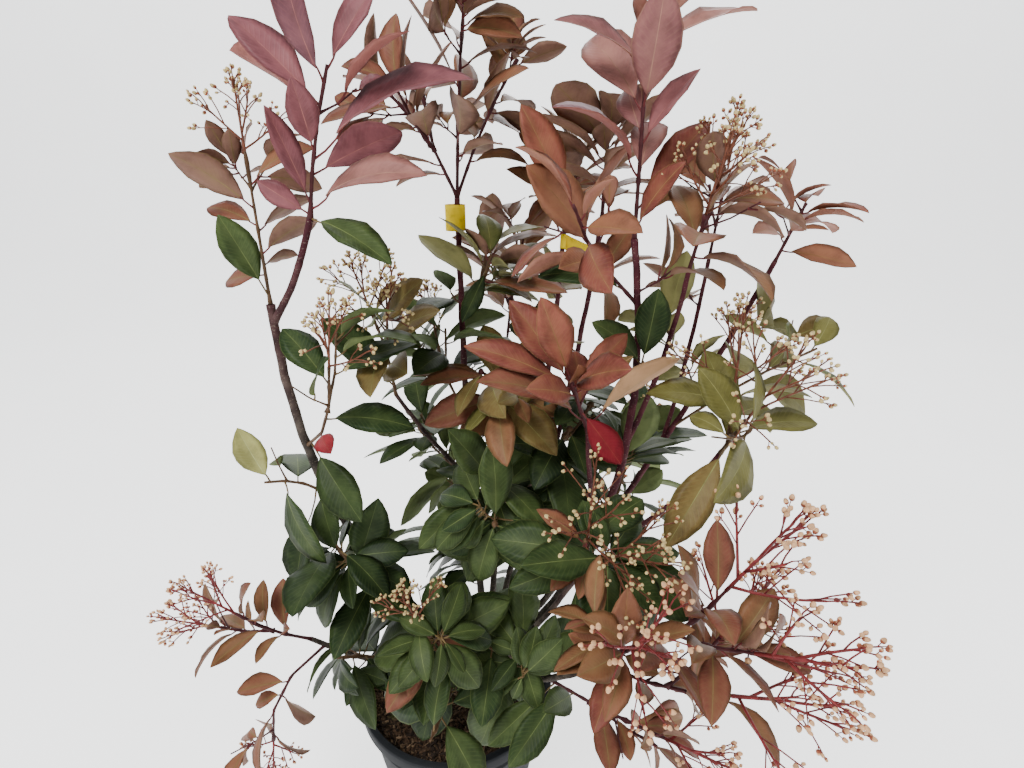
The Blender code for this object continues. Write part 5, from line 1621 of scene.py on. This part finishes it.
def dress_ray(ray, rng, stalk_heap, bud_heap, look, size):
    """One ray of a head with its side stalks, threads and buds."""
    reach = (ray.top - ray.foot).length
    line = bowed(ray.foot, ray.foot.lerp(ray.top, RAY_KEPT), rng.uniform(*RAY_BOWS) * reach, 4)
    thick = size / FAR_BUD
    stalk_heap.add_tube(line, [radius * thick for radius in RAY_THICK], 5, look)
    turn = rng.uniform(0, 2 * math.pi)
    for k in range(SIDE_STALKS):
        share = FIRST_SIDE + (1 - FIRST_SIDE) * k / (SIDE_STALKS - 1)
        point, heading = along(line, min(share, 0.99))
        side = beside(heading, turn + k * LEAF_TURN)
        lean = SIDE_LEAN - SIDE_LEAN_FALL * share + rng.uniform(-SIDE_SPREAD, SIDE_SPREAD)
        lean = math.radians(lean) * (k < SIDE_STALKS - 1)
        out = heading * math.cos(lean) + side * math.sin(lean)
        length = reach * (SIDE_REACH - SIDE_REACH_FALL * share) * rng.uniform(*SIDE_SIZES)
        branch = bowed(point, point + out * length, SIDE_BOW, 2)
        stalk_heap.add_tube(branch, SIDE_THICK, 4, look)
        spread = rng.uniform(0, 2 * math.pi)
        for j in range(THREADS):
            foot, direction = along(branch, 0.99 - THREAD_GAP * j)
            lean = math.radians(rng.uniform(*THREAD_LEANS)) * (j > 0)
            aim = direction * math.cos(lean) + beside(direction, spread + j * THREAD_TURN) * math.sin(lean)
            end = foot + aim * rng.uniform(*THREAD_LENGTHS)
            stalk_heap.add_tube([foot, end], THREAD_THICK, 3, look)
            add_bud(bud_heap, end, aim, size * rng.uniform(*BUD_SIZES), look, CUP_LOOK)


head_stalks, buds = Heap(), Heap()
NEAR_HEADS = ("flower_near_top", "flower_near_left", "flower_near_right", "flower_low_right")
RED_HEADS = NEAR_HEADS + ("flower_low_left", "flower_hanging")
for number, (name, mass) in enumerate(masses.items()):
    rng = random.Random(HEAD_SEED + number)
    look = int(name not in RED_HEADS)
    size = NEAR_BUD if name in NEAR_HEADS else FAR_BUD
    for axis, rays in mass[5]:
        line = [axis[0], axis[0].lerp(axis[1], 0.5), axis[1]]
        head_stalks.add_tube(line, [radius * size / FAR_BUD for radius in AXIS_THICK], 6, look)
        for ray in rays:
            dress_ray(ray, rng, head_stalks, buds, look, size)
head_finishes = [plain_finish("crimson flower stalk", (0.170, 0.028, 0.028), 0.45, 120),
                 plain_finish("brown flower stalk", (0.150, 0.052, 0.030), 0.45, 120)]
add_piece("flower_stalks", head_stalks.mesh("flower_stalks", head_finishes), "rose_leaves")
bud_finishes = [plain_finish("peach bud", (0.62, 0.36, 0.19), 0.5, 200),
                plain_finish("cream bud", (0.50, 0.38, 0.17), 0.5, 200),
                plain_finish("bud cup", (0.28, 0.090, 0.050), 0.5, 200)]
add_piece("flower_buds", buds.mesh("flower_buds", bud_finishes), "rose_leaves")

# %% [markdown]
# ## Trunk and stems
#
# The trunk flares at its foot and forks at once into ten stems, each with a swollen collar. Its bark is
# grey-brown and rough. The upper stems, most of all those on the sunny right side, are smoother and
# dark red, with small pale warts and a knot at each old leaf. Tubes laid over each other would show
# hard creases at the fork. So the trunk and its collars are curves with a round bevel, made into
# meshes, joined, remeshed into one skin and smoothed, and then roughened. The stems are finer tubes
# with their knots in the radius, and a noise makes their lines wander by a fraction of a millimetre.

# %% Bark finish
SUNNY_SIDE = 0.8
RED_FROM, RED_TO = 0.50, 0.78
WART_LEVEL = 0.66
GREY_BARK = ((0.3, (0.020, 0.016, 0.013)), (0.5, (0.044, 0.035, 0.029)), (0.72, (0.098, 0.080, 0.064)))
RED_BARK = ((0.3, (0.032, 0.008, 0.012)), (0.5, (0.066, 0.014, 0.021)), (0.72, (0.098, 0.032, 0.036)))
WART_COLOR = (0.19, 0.15, 0.12)


def bark_finish():
    """Grey-brown low down, dark red higher up and on the right, with pale warts and a fine grain."""
    finish = Finish("bark", 0.75)
    place = finish.nodes.new("ShaderNodeTexCoord").outputs["Object"]
    x, _, z = finish.split(place)
    patches = finish.clouds(55, 4)
    redness = finish.spread(finish.math("ADD", z, finish.math("MULTIPLY", x, SUNNY_SIDE)),
                            from_min=RED_FROM, from_max=RED_TO)
    base = finish.mix(redness, finish.ramp(patches, *GREY_BARK), finish.ramp(patches, *RED_BARK))
    warts = finish.math("GREATER_THAN", finish.clouds(420, 1, (1, 1, 1.6)), WART_LEVEL)
    finish.color(finish.mix(finish.math("MULTIPLY", warts, 0.5), base, WART_COLOR))
    finish.bump(finish.clouds(260, 3, (1, 1, 0.25)), 0.5, 0.0008)
    return finish.material


bark = bark_finish()

# %% Trunk
TRUNK_VOXEL = 0.0011
SMOOTH_SHARE, SMOOTH_TIMES = 0.6, 5
COLLAR_REACH = 0.055
COLLAR_STEPS = 8
COLLAR_SWELL = 1.22
COLLAR_SINK = 0.93
BARK_ROUGHNESS = 0.0007
CURVE_SIDES = 4


def limb_curve(name, line, radii):
    """A curve with a round bevel through a line, made a mesh."""
    data = bpy.data.curves.new(name, "CURVE")
    data.dimensions = "3D"
    data.bevel_depth = 1
    data.bevel_resolution = CURVE_SIDES
    data.use_fill_caps = True
    spline = data.splines.new("POLY")
    spline.points.add(len(line) - 1)
    for spot, point, radius in zip(spline.points, line, radii):
        spot.co = (*point, 1)
        spot.radius = radius
    thing = bpy.data.objects.new(name, data)
    bpy.context.scene.collection.objects.link(thing)
    select_only(thing)
    bpy.ops.object.convert(target="MESH")
    return bpy.context.object


def collar_curve(limb):
    """The foot of a stem, which swells where it leaves the trunk."""
    line, radii = lines[limb.name]
    steps = [i / COLLAR_STEPS for i in range(COLLAR_STEPS + 1)]
    points = [along(line, COLLAR_REACH / length_of(line) * step)[0] for step in steps]
    swell = [radii[0] * (COLLAR_SWELL + (COLLAR_SINK - COLLAR_SWELL) * step ** 1.5) for step in steps]
    return limb_curve("collar", points, swell)


def roughen(mesh, amount, scale, stretch):
    """Move each point along its normal by a noise at its place."""
    normals = [vertex.normal.copy() for vertex in mesh.vertices]
    for vertex, normal in zip(mesh.vertices, normals):
        spot = Vector((vertex.co.x, vertex.co.y, vertex.co.z * stretch)) * scale
        vertex.co += normal * amount * noise.fractal(spot, 1.0, 2.0, 3)
    mesh.update()


skins = [limb_curve("trunk skin", *lines["trunk"])]
skins += [collar_curve(limb) for limb in LIMBS if limb.parent == "trunk"]
trunk = join_all(skins)
apply_modifier(trunk, "REMESH", mode="VOXEL", voxel_size=TRUNK_VOXEL)
apply_modifier(trunk, "SMOOTH", factor=SMOOTH_SHARE, iterations=SMOOTH_TIMES)
roughen(trunk.data, BARK_ROUGHNESS, 110, 0.35)
roughen(trunk.data, BARK_ROUGHNESS * 0.5, 420, 0.6)
finish_piece(trunk, "trunk_bark", "bark", [bark], "trunk")

# %% Stems and boughs
STEM_SEED = 4000
STEM_STEP = 0.0035
STEM_SIDES = 14
STEM_KNOTS = 0.045
STEM_KNOT = 0.0003
STEM_ROUGHNESS = 0.00012
BOUGH_COLLAR = 0.0016
BOUGH_COLLAR_FALL = 0.008
WANDER = 0.0009
WANDER_SCALE = 30
WANDER_START = 0.02


def bark_tube(limb, rng):
    """A stem or bough from its parent's middle to its tip, with knots at its old leaves."""
    line, radii = lines[limb.name]
    length = length_of(line)
    count = round(length / STEM_STEP)
    knots = [COLLAR_REACH * 0.5]
    while knots[-1] < length:
        knots.append(knots[-1] + STEM_KNOTS * rng.uniform(0.7, 1.3))
    fine_line, fine_radii = [], []
    for i in range(count + 1):
        share = i / count
        reach = share * length
        radius = radii[0] + (radii[-1] - radii[0]) * share
        radius += sum(STEM_KNOT * math.exp(-((reach - knot) / KNOT_REACH) ** 2) for knot in knots)
        if limb.parent != "trunk":
            radius += BOUGH_COLLAR * math.exp(-reach / BOUGH_COLLAR_FALL)
        wander = WANDER * noise.noise_vector(Vector((reach * WANDER_SCALE, len(limb.name), 0)))
        wander *= min(1, reach / WANDER_START)
        fine_line.append(along(line, share)[0] + wander * min(1, (length - reach) / WANDER_START))
        fine_radii.append(radius)
    return tube(fine_line, fine_radii, STEM_SIDES)


# The vector noise would start from the clock, so its seed is set to give the same stems in each run
noise.seed_set(STEM_SEED)
stem_heap = Heap()
for number, limb in enumerate(LIMBS):
    stem_heap.add(*bark_tube(limb, random.Random(STEM_SEED + number)))
stem_mesh = stem_heap.mesh("stems_bark", [bark])
roughen(stem_mesh, STEM_ROUGHNESS, 220, 0.4)
add_piece("stems_bark", stem_mesh, "bark", *[limb.name for limb in LIMBS])

# %% [markdown]
# ## The pot
#
# The pot is a thin moulded one in a dark slate plastic: a tapering wall with a raised foot and band, a
# step out to a deep rim with a rolled lip, and holes in its floor. It could be a turned profile in one
# step. Here it grows as by hand: a disc is extruded up along the outside, over the lip and down the
# inside, and each new ring is scaled to its radius. Then the holes are cut through its floor.

# %% Pot
POT_SIDES = 96
POT_SHOULDER = POT_HEIGHT - RIM_DEPTH
RIDGE = 0.0012
RIM_INNER = RIM_RADIUS - RIM_WIDTH


def pot_wall(height):
    """The outside radius of the pot's wall at a height."""
    return FOOT_RADIUS + (SHOULDER_RADIUS - FOOT_RADIUS) * height / POT_SHOULDER


def wall_ring(height, depth=0.0):
    """A ring of the wall at a height, some way in from its outside."""
    return pot_wall(height) - depth, height


POT_RINGS = (
    (FOOT_RADIUS, 0.003), wall_ring(0.012), wall_ring(0.014, RIDGE), wall_ring(0.060, RIDGE),
    wall_ring(0.120, RIDGE), wall_ring(0.176, RIDGE), wall_ring(0.178), wall_ring(0.182),
    wall_ring(0.184, RIDGE), (SHOULDER_RADIUS - 0.001, POT_SHOULDER),
    (RIM_RADIUS - 0.0022, POT_SHOULDER + 0.0015), (RIM_RADIUS - 0.0008, POT_SHOULDER + 0.004),
    (RIM_RADIUS - 0.0006, POT_HEIGHT - 0.007), (RIM_RADIUS, POT_HEIGHT - 0.004),
    (RIM_RADIUS - 0.001, POT_HEIGHT - 0.001), (RIM_RADIUS - 0.003, POT_HEIGHT),
    (RIM_INNER + 0.003, POT_HEIGHT), (RIM_INNER + 0.0008, POT_HEIGHT - 0.0012),
    (RIM_INNER, POT_HEIGHT - 0.004), (SHOULDER_RADIUS - POT_WALL, POT_SHOULDER),
    wall_ring(0.100, POT_WALL), wall_ring(POT_FLOOR, POT_WALL),
)


def extrude_rings(first_radius, rings, sides, low=0.0):
    """A disc extruded ring by ring, each given by its radius and height, into a closed turned shape."""
    deselect()
    bpy.ops.mesh.primitive_circle_add(vertices=sides, radius=first_radius, fill_type="NGON",
                                      location=(0, 0, low))
    bpy.ops.object.transform_apply(location=True)
    edit()
    bpy.ops.mesh.select_all(action="SELECT")
    radius, height = first_radius, low
    for new_radius, new_height in rings:
        bpy.ops.mesh.extrude_region_move(TRANSFORM_OT_translate={"value": (0, 0, new_height - height)})
        factor = new_radius / radius
        bpy.ops.transform.resize(value=(factor, factor, 1), center_override=(0, 0, new_height))
        radius, height = new_radius, new_height
    bpy.ops.mesh.select_all(action="SELECT")
    bpy.ops.mesh.normals_make_consistent(inside=False)
    leave_edit()
    return bpy.context.object


pot = extrude_rings(FOOT_RADIUS - 0.003, POT_RINGS, POT_SIDES)
drills = []
for k in range(HOLE_COUNT):
    turn = 2 * math.pi * (k + 0.5) / HOLE_COUNT
    place = (HOLE_RING * math.cos(turn), HOLE_RING * math.sin(turn), POT_FLOOR / 2)
    bpy.ops.mesh.primitive_cylinder_add(vertices=32, radius=HOLE_RADIUS, depth=4 * POT_FLOOR, location=place)
    bpy.ops.object.transform_apply(location=True)
    drills.append(bpy.context.object)
drill = join_all(drills)
apply_modifier(pot, "BOOLEAN", operation="DIFFERENCE", object=drill, solver="EXACT")
bpy.data.objects.remove(drill)

# %% Slate plastic
SLATE_SHEEN = 0.08
EDGE_ANGLE = 40


def slate_plastic():
    """Dark slate plastic with a fine moulded grain, faint scuffs and a little dust."""
    finish = Finish("slate plastic", 0.5, SLATE_SHEEN)
    clouds = finish.clouds(9, 5)
    finish.color(finish.ramp(clouds, (0.30, (0.006, 0.007, 0.008)), (0.52, (0.009, 0.010, 0.012)),
                             (0.75, (0.018, 0.020, 0.022))))
    finish.put(finish.spread(clouds, to_min=0.55, to_max=0.75), finish.shader["Roughness"])
    finish.bump(finish.clouds(900, 2), 0.18, 0.0004)
    return finish.material


finish_piece(pot, "slate_pot", "pot_plastic", [slate_plastic()], "pot")
select_only(pot)
bpy.ops.object.shade_smooth_by_angle(angle=math.radians(EDGE_ANGLE))

# %% [markdown]
# ## Potting mix
#
# The mix is composted bark: short brown fibres and chips, some nearly black, with a few mossy spots. A
# bump alone would look like sand. So its top is a mounded disc with real relief, and about two
# thousand chips lie on it, each one a cube that is stretched, tapered and turned.

# %% Mix surface
MIX_SWELL = 0.007
MIX_GRAIN = 0.0016
HUMP_SCALE, GRAIN_SCALE = 22, 120
MIX_FOOT = 0.006
MIX_EDGE = 0.0012
MIX_RINGS = 26


def mound(x, y):
    """The height of the mix above its level."""
    hump = noise.fractal(Vector((x * HUMP_SCALE, y * HUMP_SCALE, 3.0)), 1.0, 2.0, 4)
    fine = noise.fractal(Vector((x * GRAIN_SCALE, y * GRAIN_SCALE, 7.0)), 1.0, 2.0, 3)
    return MIX_SWELL * hump + MIX_GRAIN * fine


mix_radius = pot_wall(MIX_TOP) - POT_WALL - MIX_EDGE
foot_radius = pot_wall(MIX_FOOT) - POT_WALL - MIX_EDGE
mix = extrude_rings(foot_radius, ((mix_radius, MIX_TOP),), POT_SIDES, MIX_FOOT)
edit()
bpy.ops.mesh.select_all(action="DESELECT")
skin = bmesh.from_edit_mesh(mix.data)
top = max(skin.faces, key=lambda face: face.calc_center_median().z)
top.select_set(True)
bmesh.update_edit_mesh(mix.data)
for k in range(MIX_RINGS):
    bpy.ops.mesh.inset(thickness=mix_radius / (MIX_RINGS + 1), use_even_offset=False)
leave_edit()
for vertex in mix.data.vertices:
    if vertex.co.z > MIX_TOP - 0.001:
        vertex.co.z += mound(vertex.co.x, vertex.co.y)

# %% Mix finish
BROWN_MIX = ((0.30, (0.012, 0.008, 0.006)), (0.50, (0.050, 0.030, 0.019)), (0.72, (0.130, 0.085, 0.052)))
MOSSY_MIX = ((0.3, (0.018, 0.030, 0.008)), (0.7, (0.075, 0.110, 0.022)))
MOSS_PATCHES = ((0.60, (0, 0, 0)), (0.68, (0.7, 0.7, 0.7)))


def mix_finish():
    """Composted bark in browns, with mossy green in soft patches."""
    finish = Finish("potting mix", 0.95)
    crumbs = finish.clouds(240, 5)
    patch = finish.ramp(finish.clouds(16, 3), *MOSS_PATCHES)
    finish.color(finish.mix(patch, finish.ramp(crumbs, *BROWN_MIX), finish.ramp(crumbs, *MOSSY_MIX)))
    finish.bump(crumbs, 0.8, 0.002)
    return finish.material


finish_piece(mix, "potting_mix_top", "potting_mix", [mix_finish()], "potting_mix")

# %% Bark chips
CHIP_SEED = 5000
CHIPS = 2200
CHIP_LENGTHS = (0.004, 0.020)
CHIP_WIDTHS = (0.0010, 0.0042)
CHIP_DEPTHS = (0.0006, 0.0018)
CHIP_LIFTS = (0.0002, 0.0025)
RAGGED = 0.12
deselect()
bpy.ops.mesh.primitive_cube_add(size=1)
edit()
bpy.ops.mesh.select_all(action="SELECT")
bpy.ops.mesh.subdivide(number_cuts=1)
leave_edit()
chip_points, CHIP_FACES = take_shape()
CHIP_BASE = np.array([tuple(point) for point in chip_points])


def chip_shape(rng):
    """A chip's points, with its middle at the origin and its length along X."""
    length = rng.uniform(*CHIP_LENGTHS) * rng.uniform(0.4, 1)
    width = min(length * 0.6, rng.uniform(*CHIP_WIDTHS))
    thick = rng.uniform(*CHIP_DEPTHS)
    points = CHIP_BASE.copy()
    points[:, 1:] *= (1 - rng.uniform(0.2, 0.9) * np.abs(points[:, 0]))[:, None]
    points *= (length, width, thick)
    points[:, 2] += rng.uniform(-0.1, 0.1) * length * (1 - (2 * points[:, 0] / length) ** 2)
    points += np.array([[rng.uniform(-1, 1) for i in range(3)] for p in points]) * RAGGED * thick
    return points


chips = Heap()
rng = random.Random(CHIP_SEED)
for k in range(CHIPS):
    radius = (mix_radius - 0.004) * math.sqrt(rng.random())
    turn = rng.uniform(0, 2 * math.pi)
    x, y = radius * math.cos(turn), radius * math.sin(turn)
    if (Vector((x, y)) - TRUNK_FOOT.xy).length < TRUNK_RADII[0] * 0.9:
        continue
    tilt = Quaternion((0, 0, 1), rng.uniform(0, 2 * math.pi)) @ Quaternion((0, 1, 0), rng.gauss(0, 0.28))
    tilt = tilt @ Quaternion((1, 0, 0), rng.gauss(0, 0.5))
    axes = np.array(tilt.to_matrix())
    points = chip_shape(rng) @ axes.T
    points += (x, y, MIX_TOP + mound(x, y) + rng.uniform(*CHIP_LIFTS))
    reach = np.hypot(points[:, 0], points[:, 1]).max()
    if reach < mix_radius:
        chips.add(points, CHIP_FACES, [rng.choice((0, 0, 1, 1, 2))] * len(CHIP_FACES))
chip_finishes = [plain_finish("dark bark chip", (0.030, 0.020, 0.015), 0.9, 300),
                 plain_finish("brown bark chip", (0.085, 0.050, 0.030), 0.9, 300),
                 plain_finish("pale bark chip", (0.190, 0.125, 0.075), 0.9, 300)]
add_piece("bark_chips", chips.mesh("bark_chips", chip_finishes), "potting_mix")

# %% [markdown]
# ## Plain yellow tags
#
# Two stems carry a strip of thin yellow plastic. One is a loose loop whose ends overlap, and the other
# a tight loop whose free end stands off as a small flag. A box would look like wood. Each strip is a
# subdivided sheet whose points are laid along its path, with its thickness given by a modifier.

# %% Tags
LOOSE_TAG = "tag_centre"
LOOSE_DEPTH = 0.0085
LOOSE_WIDTH = 0.86
LOOSE_TURNS = 1.15
LOOSE_START = 0.45
LOOSE_GROWTH = 0.12
LOOP_SHARE = 0.4
STRIP_CELLS = (56, 8)
STRIP_SHARE = 0.6


def loose_loop(tag, around, u):
    """A place along a loose loop: across the limb and out from it, and the share of its tilt."""
    angle = 2 * math.pi * (LOOSE_START + LOOSE_TURNS * u)
    grow = 1 + LOOSE_GROWTH * u
    aside = tag.width * tag.reach + tag.width / 2 * LOOSE_WIDTH * grow * math.sin(angle)
    return aside, LOOSE_DEPTH - around + LOOSE_DEPTH * grow * math.cos(angle), 0


def loop_and_flag(tag, around, u):
    """A place along a tight loop and the flag that stands off it."""
    if u < LOOP_SHARE:
        angle = 2 * math.pi * u / LOOP_SHARE
        return around * math.sin(angle), around * math.cos(angle), 0
    w = (u - LOOP_SHARE) / (1 - LOOP_SHARE)
    curl = 0.0022 * math.sin(3.0 * w) - 0.0012 * w
    return tag.width * (tag.reach + 0.5) * w, around + curl, min(1, 6 * w)


def make_tag(tag, material):
    point, heading, around, side, across = tag_place(tag, lines)
    deselect()
    bpy.ops.mesh.primitive_grid_add(x_subdivisions=STRIP_CELLS[0], y_subdivisions=STRIP_CELLS[1], size=1)
    strip = bpy.context.object
    path = loose_loop if tag.name == LOOSE_TAG else loop_and_flag
    for vertex in strip.data.vertices:
        aside, ahead, share = path(tag, around, vertex.co.x + 0.5)
        tilt = Quaternion(-side, math.radians(tag.tilt) * share)
        vertex.co = point - side * ahead + tilt @ (across * aside + heading * (vertex.co.y * tag.height))
    apply_modifier(strip, "SOLIDIFY", thickness=TAG_THICKNESS * STRIP_SHARE, offset=0)
    finish_piece(strip, "yellow_" + tag.name, "tag_plastic", [material], tag.name)


def tag_plastic():
    """Bright yellow plastic, slightly faded and grubby in soft patches."""
    finish = Finish("yellow plastic", 0.5)
    grime = finish.clouds(130, 4)
    finish.color(finish.ramp(grime, (0.30, (0.62, 0.44, 0.01)), (0.42, (0.86, 0.62, 0.01)),
                             (0.70, (0.95, 0.72, 0.02))))
    finish.bump(grime, 0.1, 0.0003)
    return finish.material


yellow = tag_plastic()
for tag in TAGS:
    make_tag(tag, yellow)

# %% [markdown]
# ## Floor and backdrop
#
# The plant stands on a pale floor that curves up far behind it into a pale wall, so that no line shows
# where they meet. A plane is extruded up at its back edge, and a wide bevel rounds the bend. The floor
# glows a little, as a lit paper does, and so lights the plant from below. It is only the stage, not a
# part of the plant.

# %% Floor
FLOOR_HALF = 4.0
WALL_HEIGHT = 5.0
BEND_WIDTH = 2.0
BEND_STEPS = 16
BEND_ANGLE = 40
FLOOR_GLOW = 1.4

deselect()
bpy.ops.mesh.primitive_plane_add(size=2 * FLOOR_HALF, location=(0, 0, 0))
floor = bpy.context.object
floor.name = "pale_floor"
edit()
bpy.ops.mesh.select_all(action="DESELECT")
bpy.ops.mesh.select_mode(type="EDGE")
sheet = bmesh.from_edit_mesh(floor.data)
for edge in sheet.edges:
    edge.select_set(all(vertex.co.y > FLOOR_HALF - 0.1 for vertex in edge.verts))
bmesh.update_edit_mesh(floor.data)
bpy.ops.mesh.extrude_region_move(TRANSFORM_OT_translate={"value": (0, 0, WALL_HEIGHT)})
leave_edit()
apply_modifier(floor, "BEVEL", width=BEND_WIDTH, segments=BEND_STEPS, limit_method="ANGLE",
               angle_limit=math.radians(BEND_ANGLE))
for face in floor.data.polygons:
    face.use_smooth = True
paper = Finish("pale floor", 0.85)
paper.color(paper.ramp(paper.clouds(3), (0.3, (0.86, 0.86, 0.85)), (0.7, (0.90, 0.90, 0.89))))
paper.shader["Emission Color"].default_value = (1, 1, 1, 1)
paper.shader["Emission Strength"].default_value = FLOOR_GLOW
floor.data.materials.append(paper.material)
print("floor reaches from", -FLOOR_HALF, "to", FLOOR_HALF, "m")
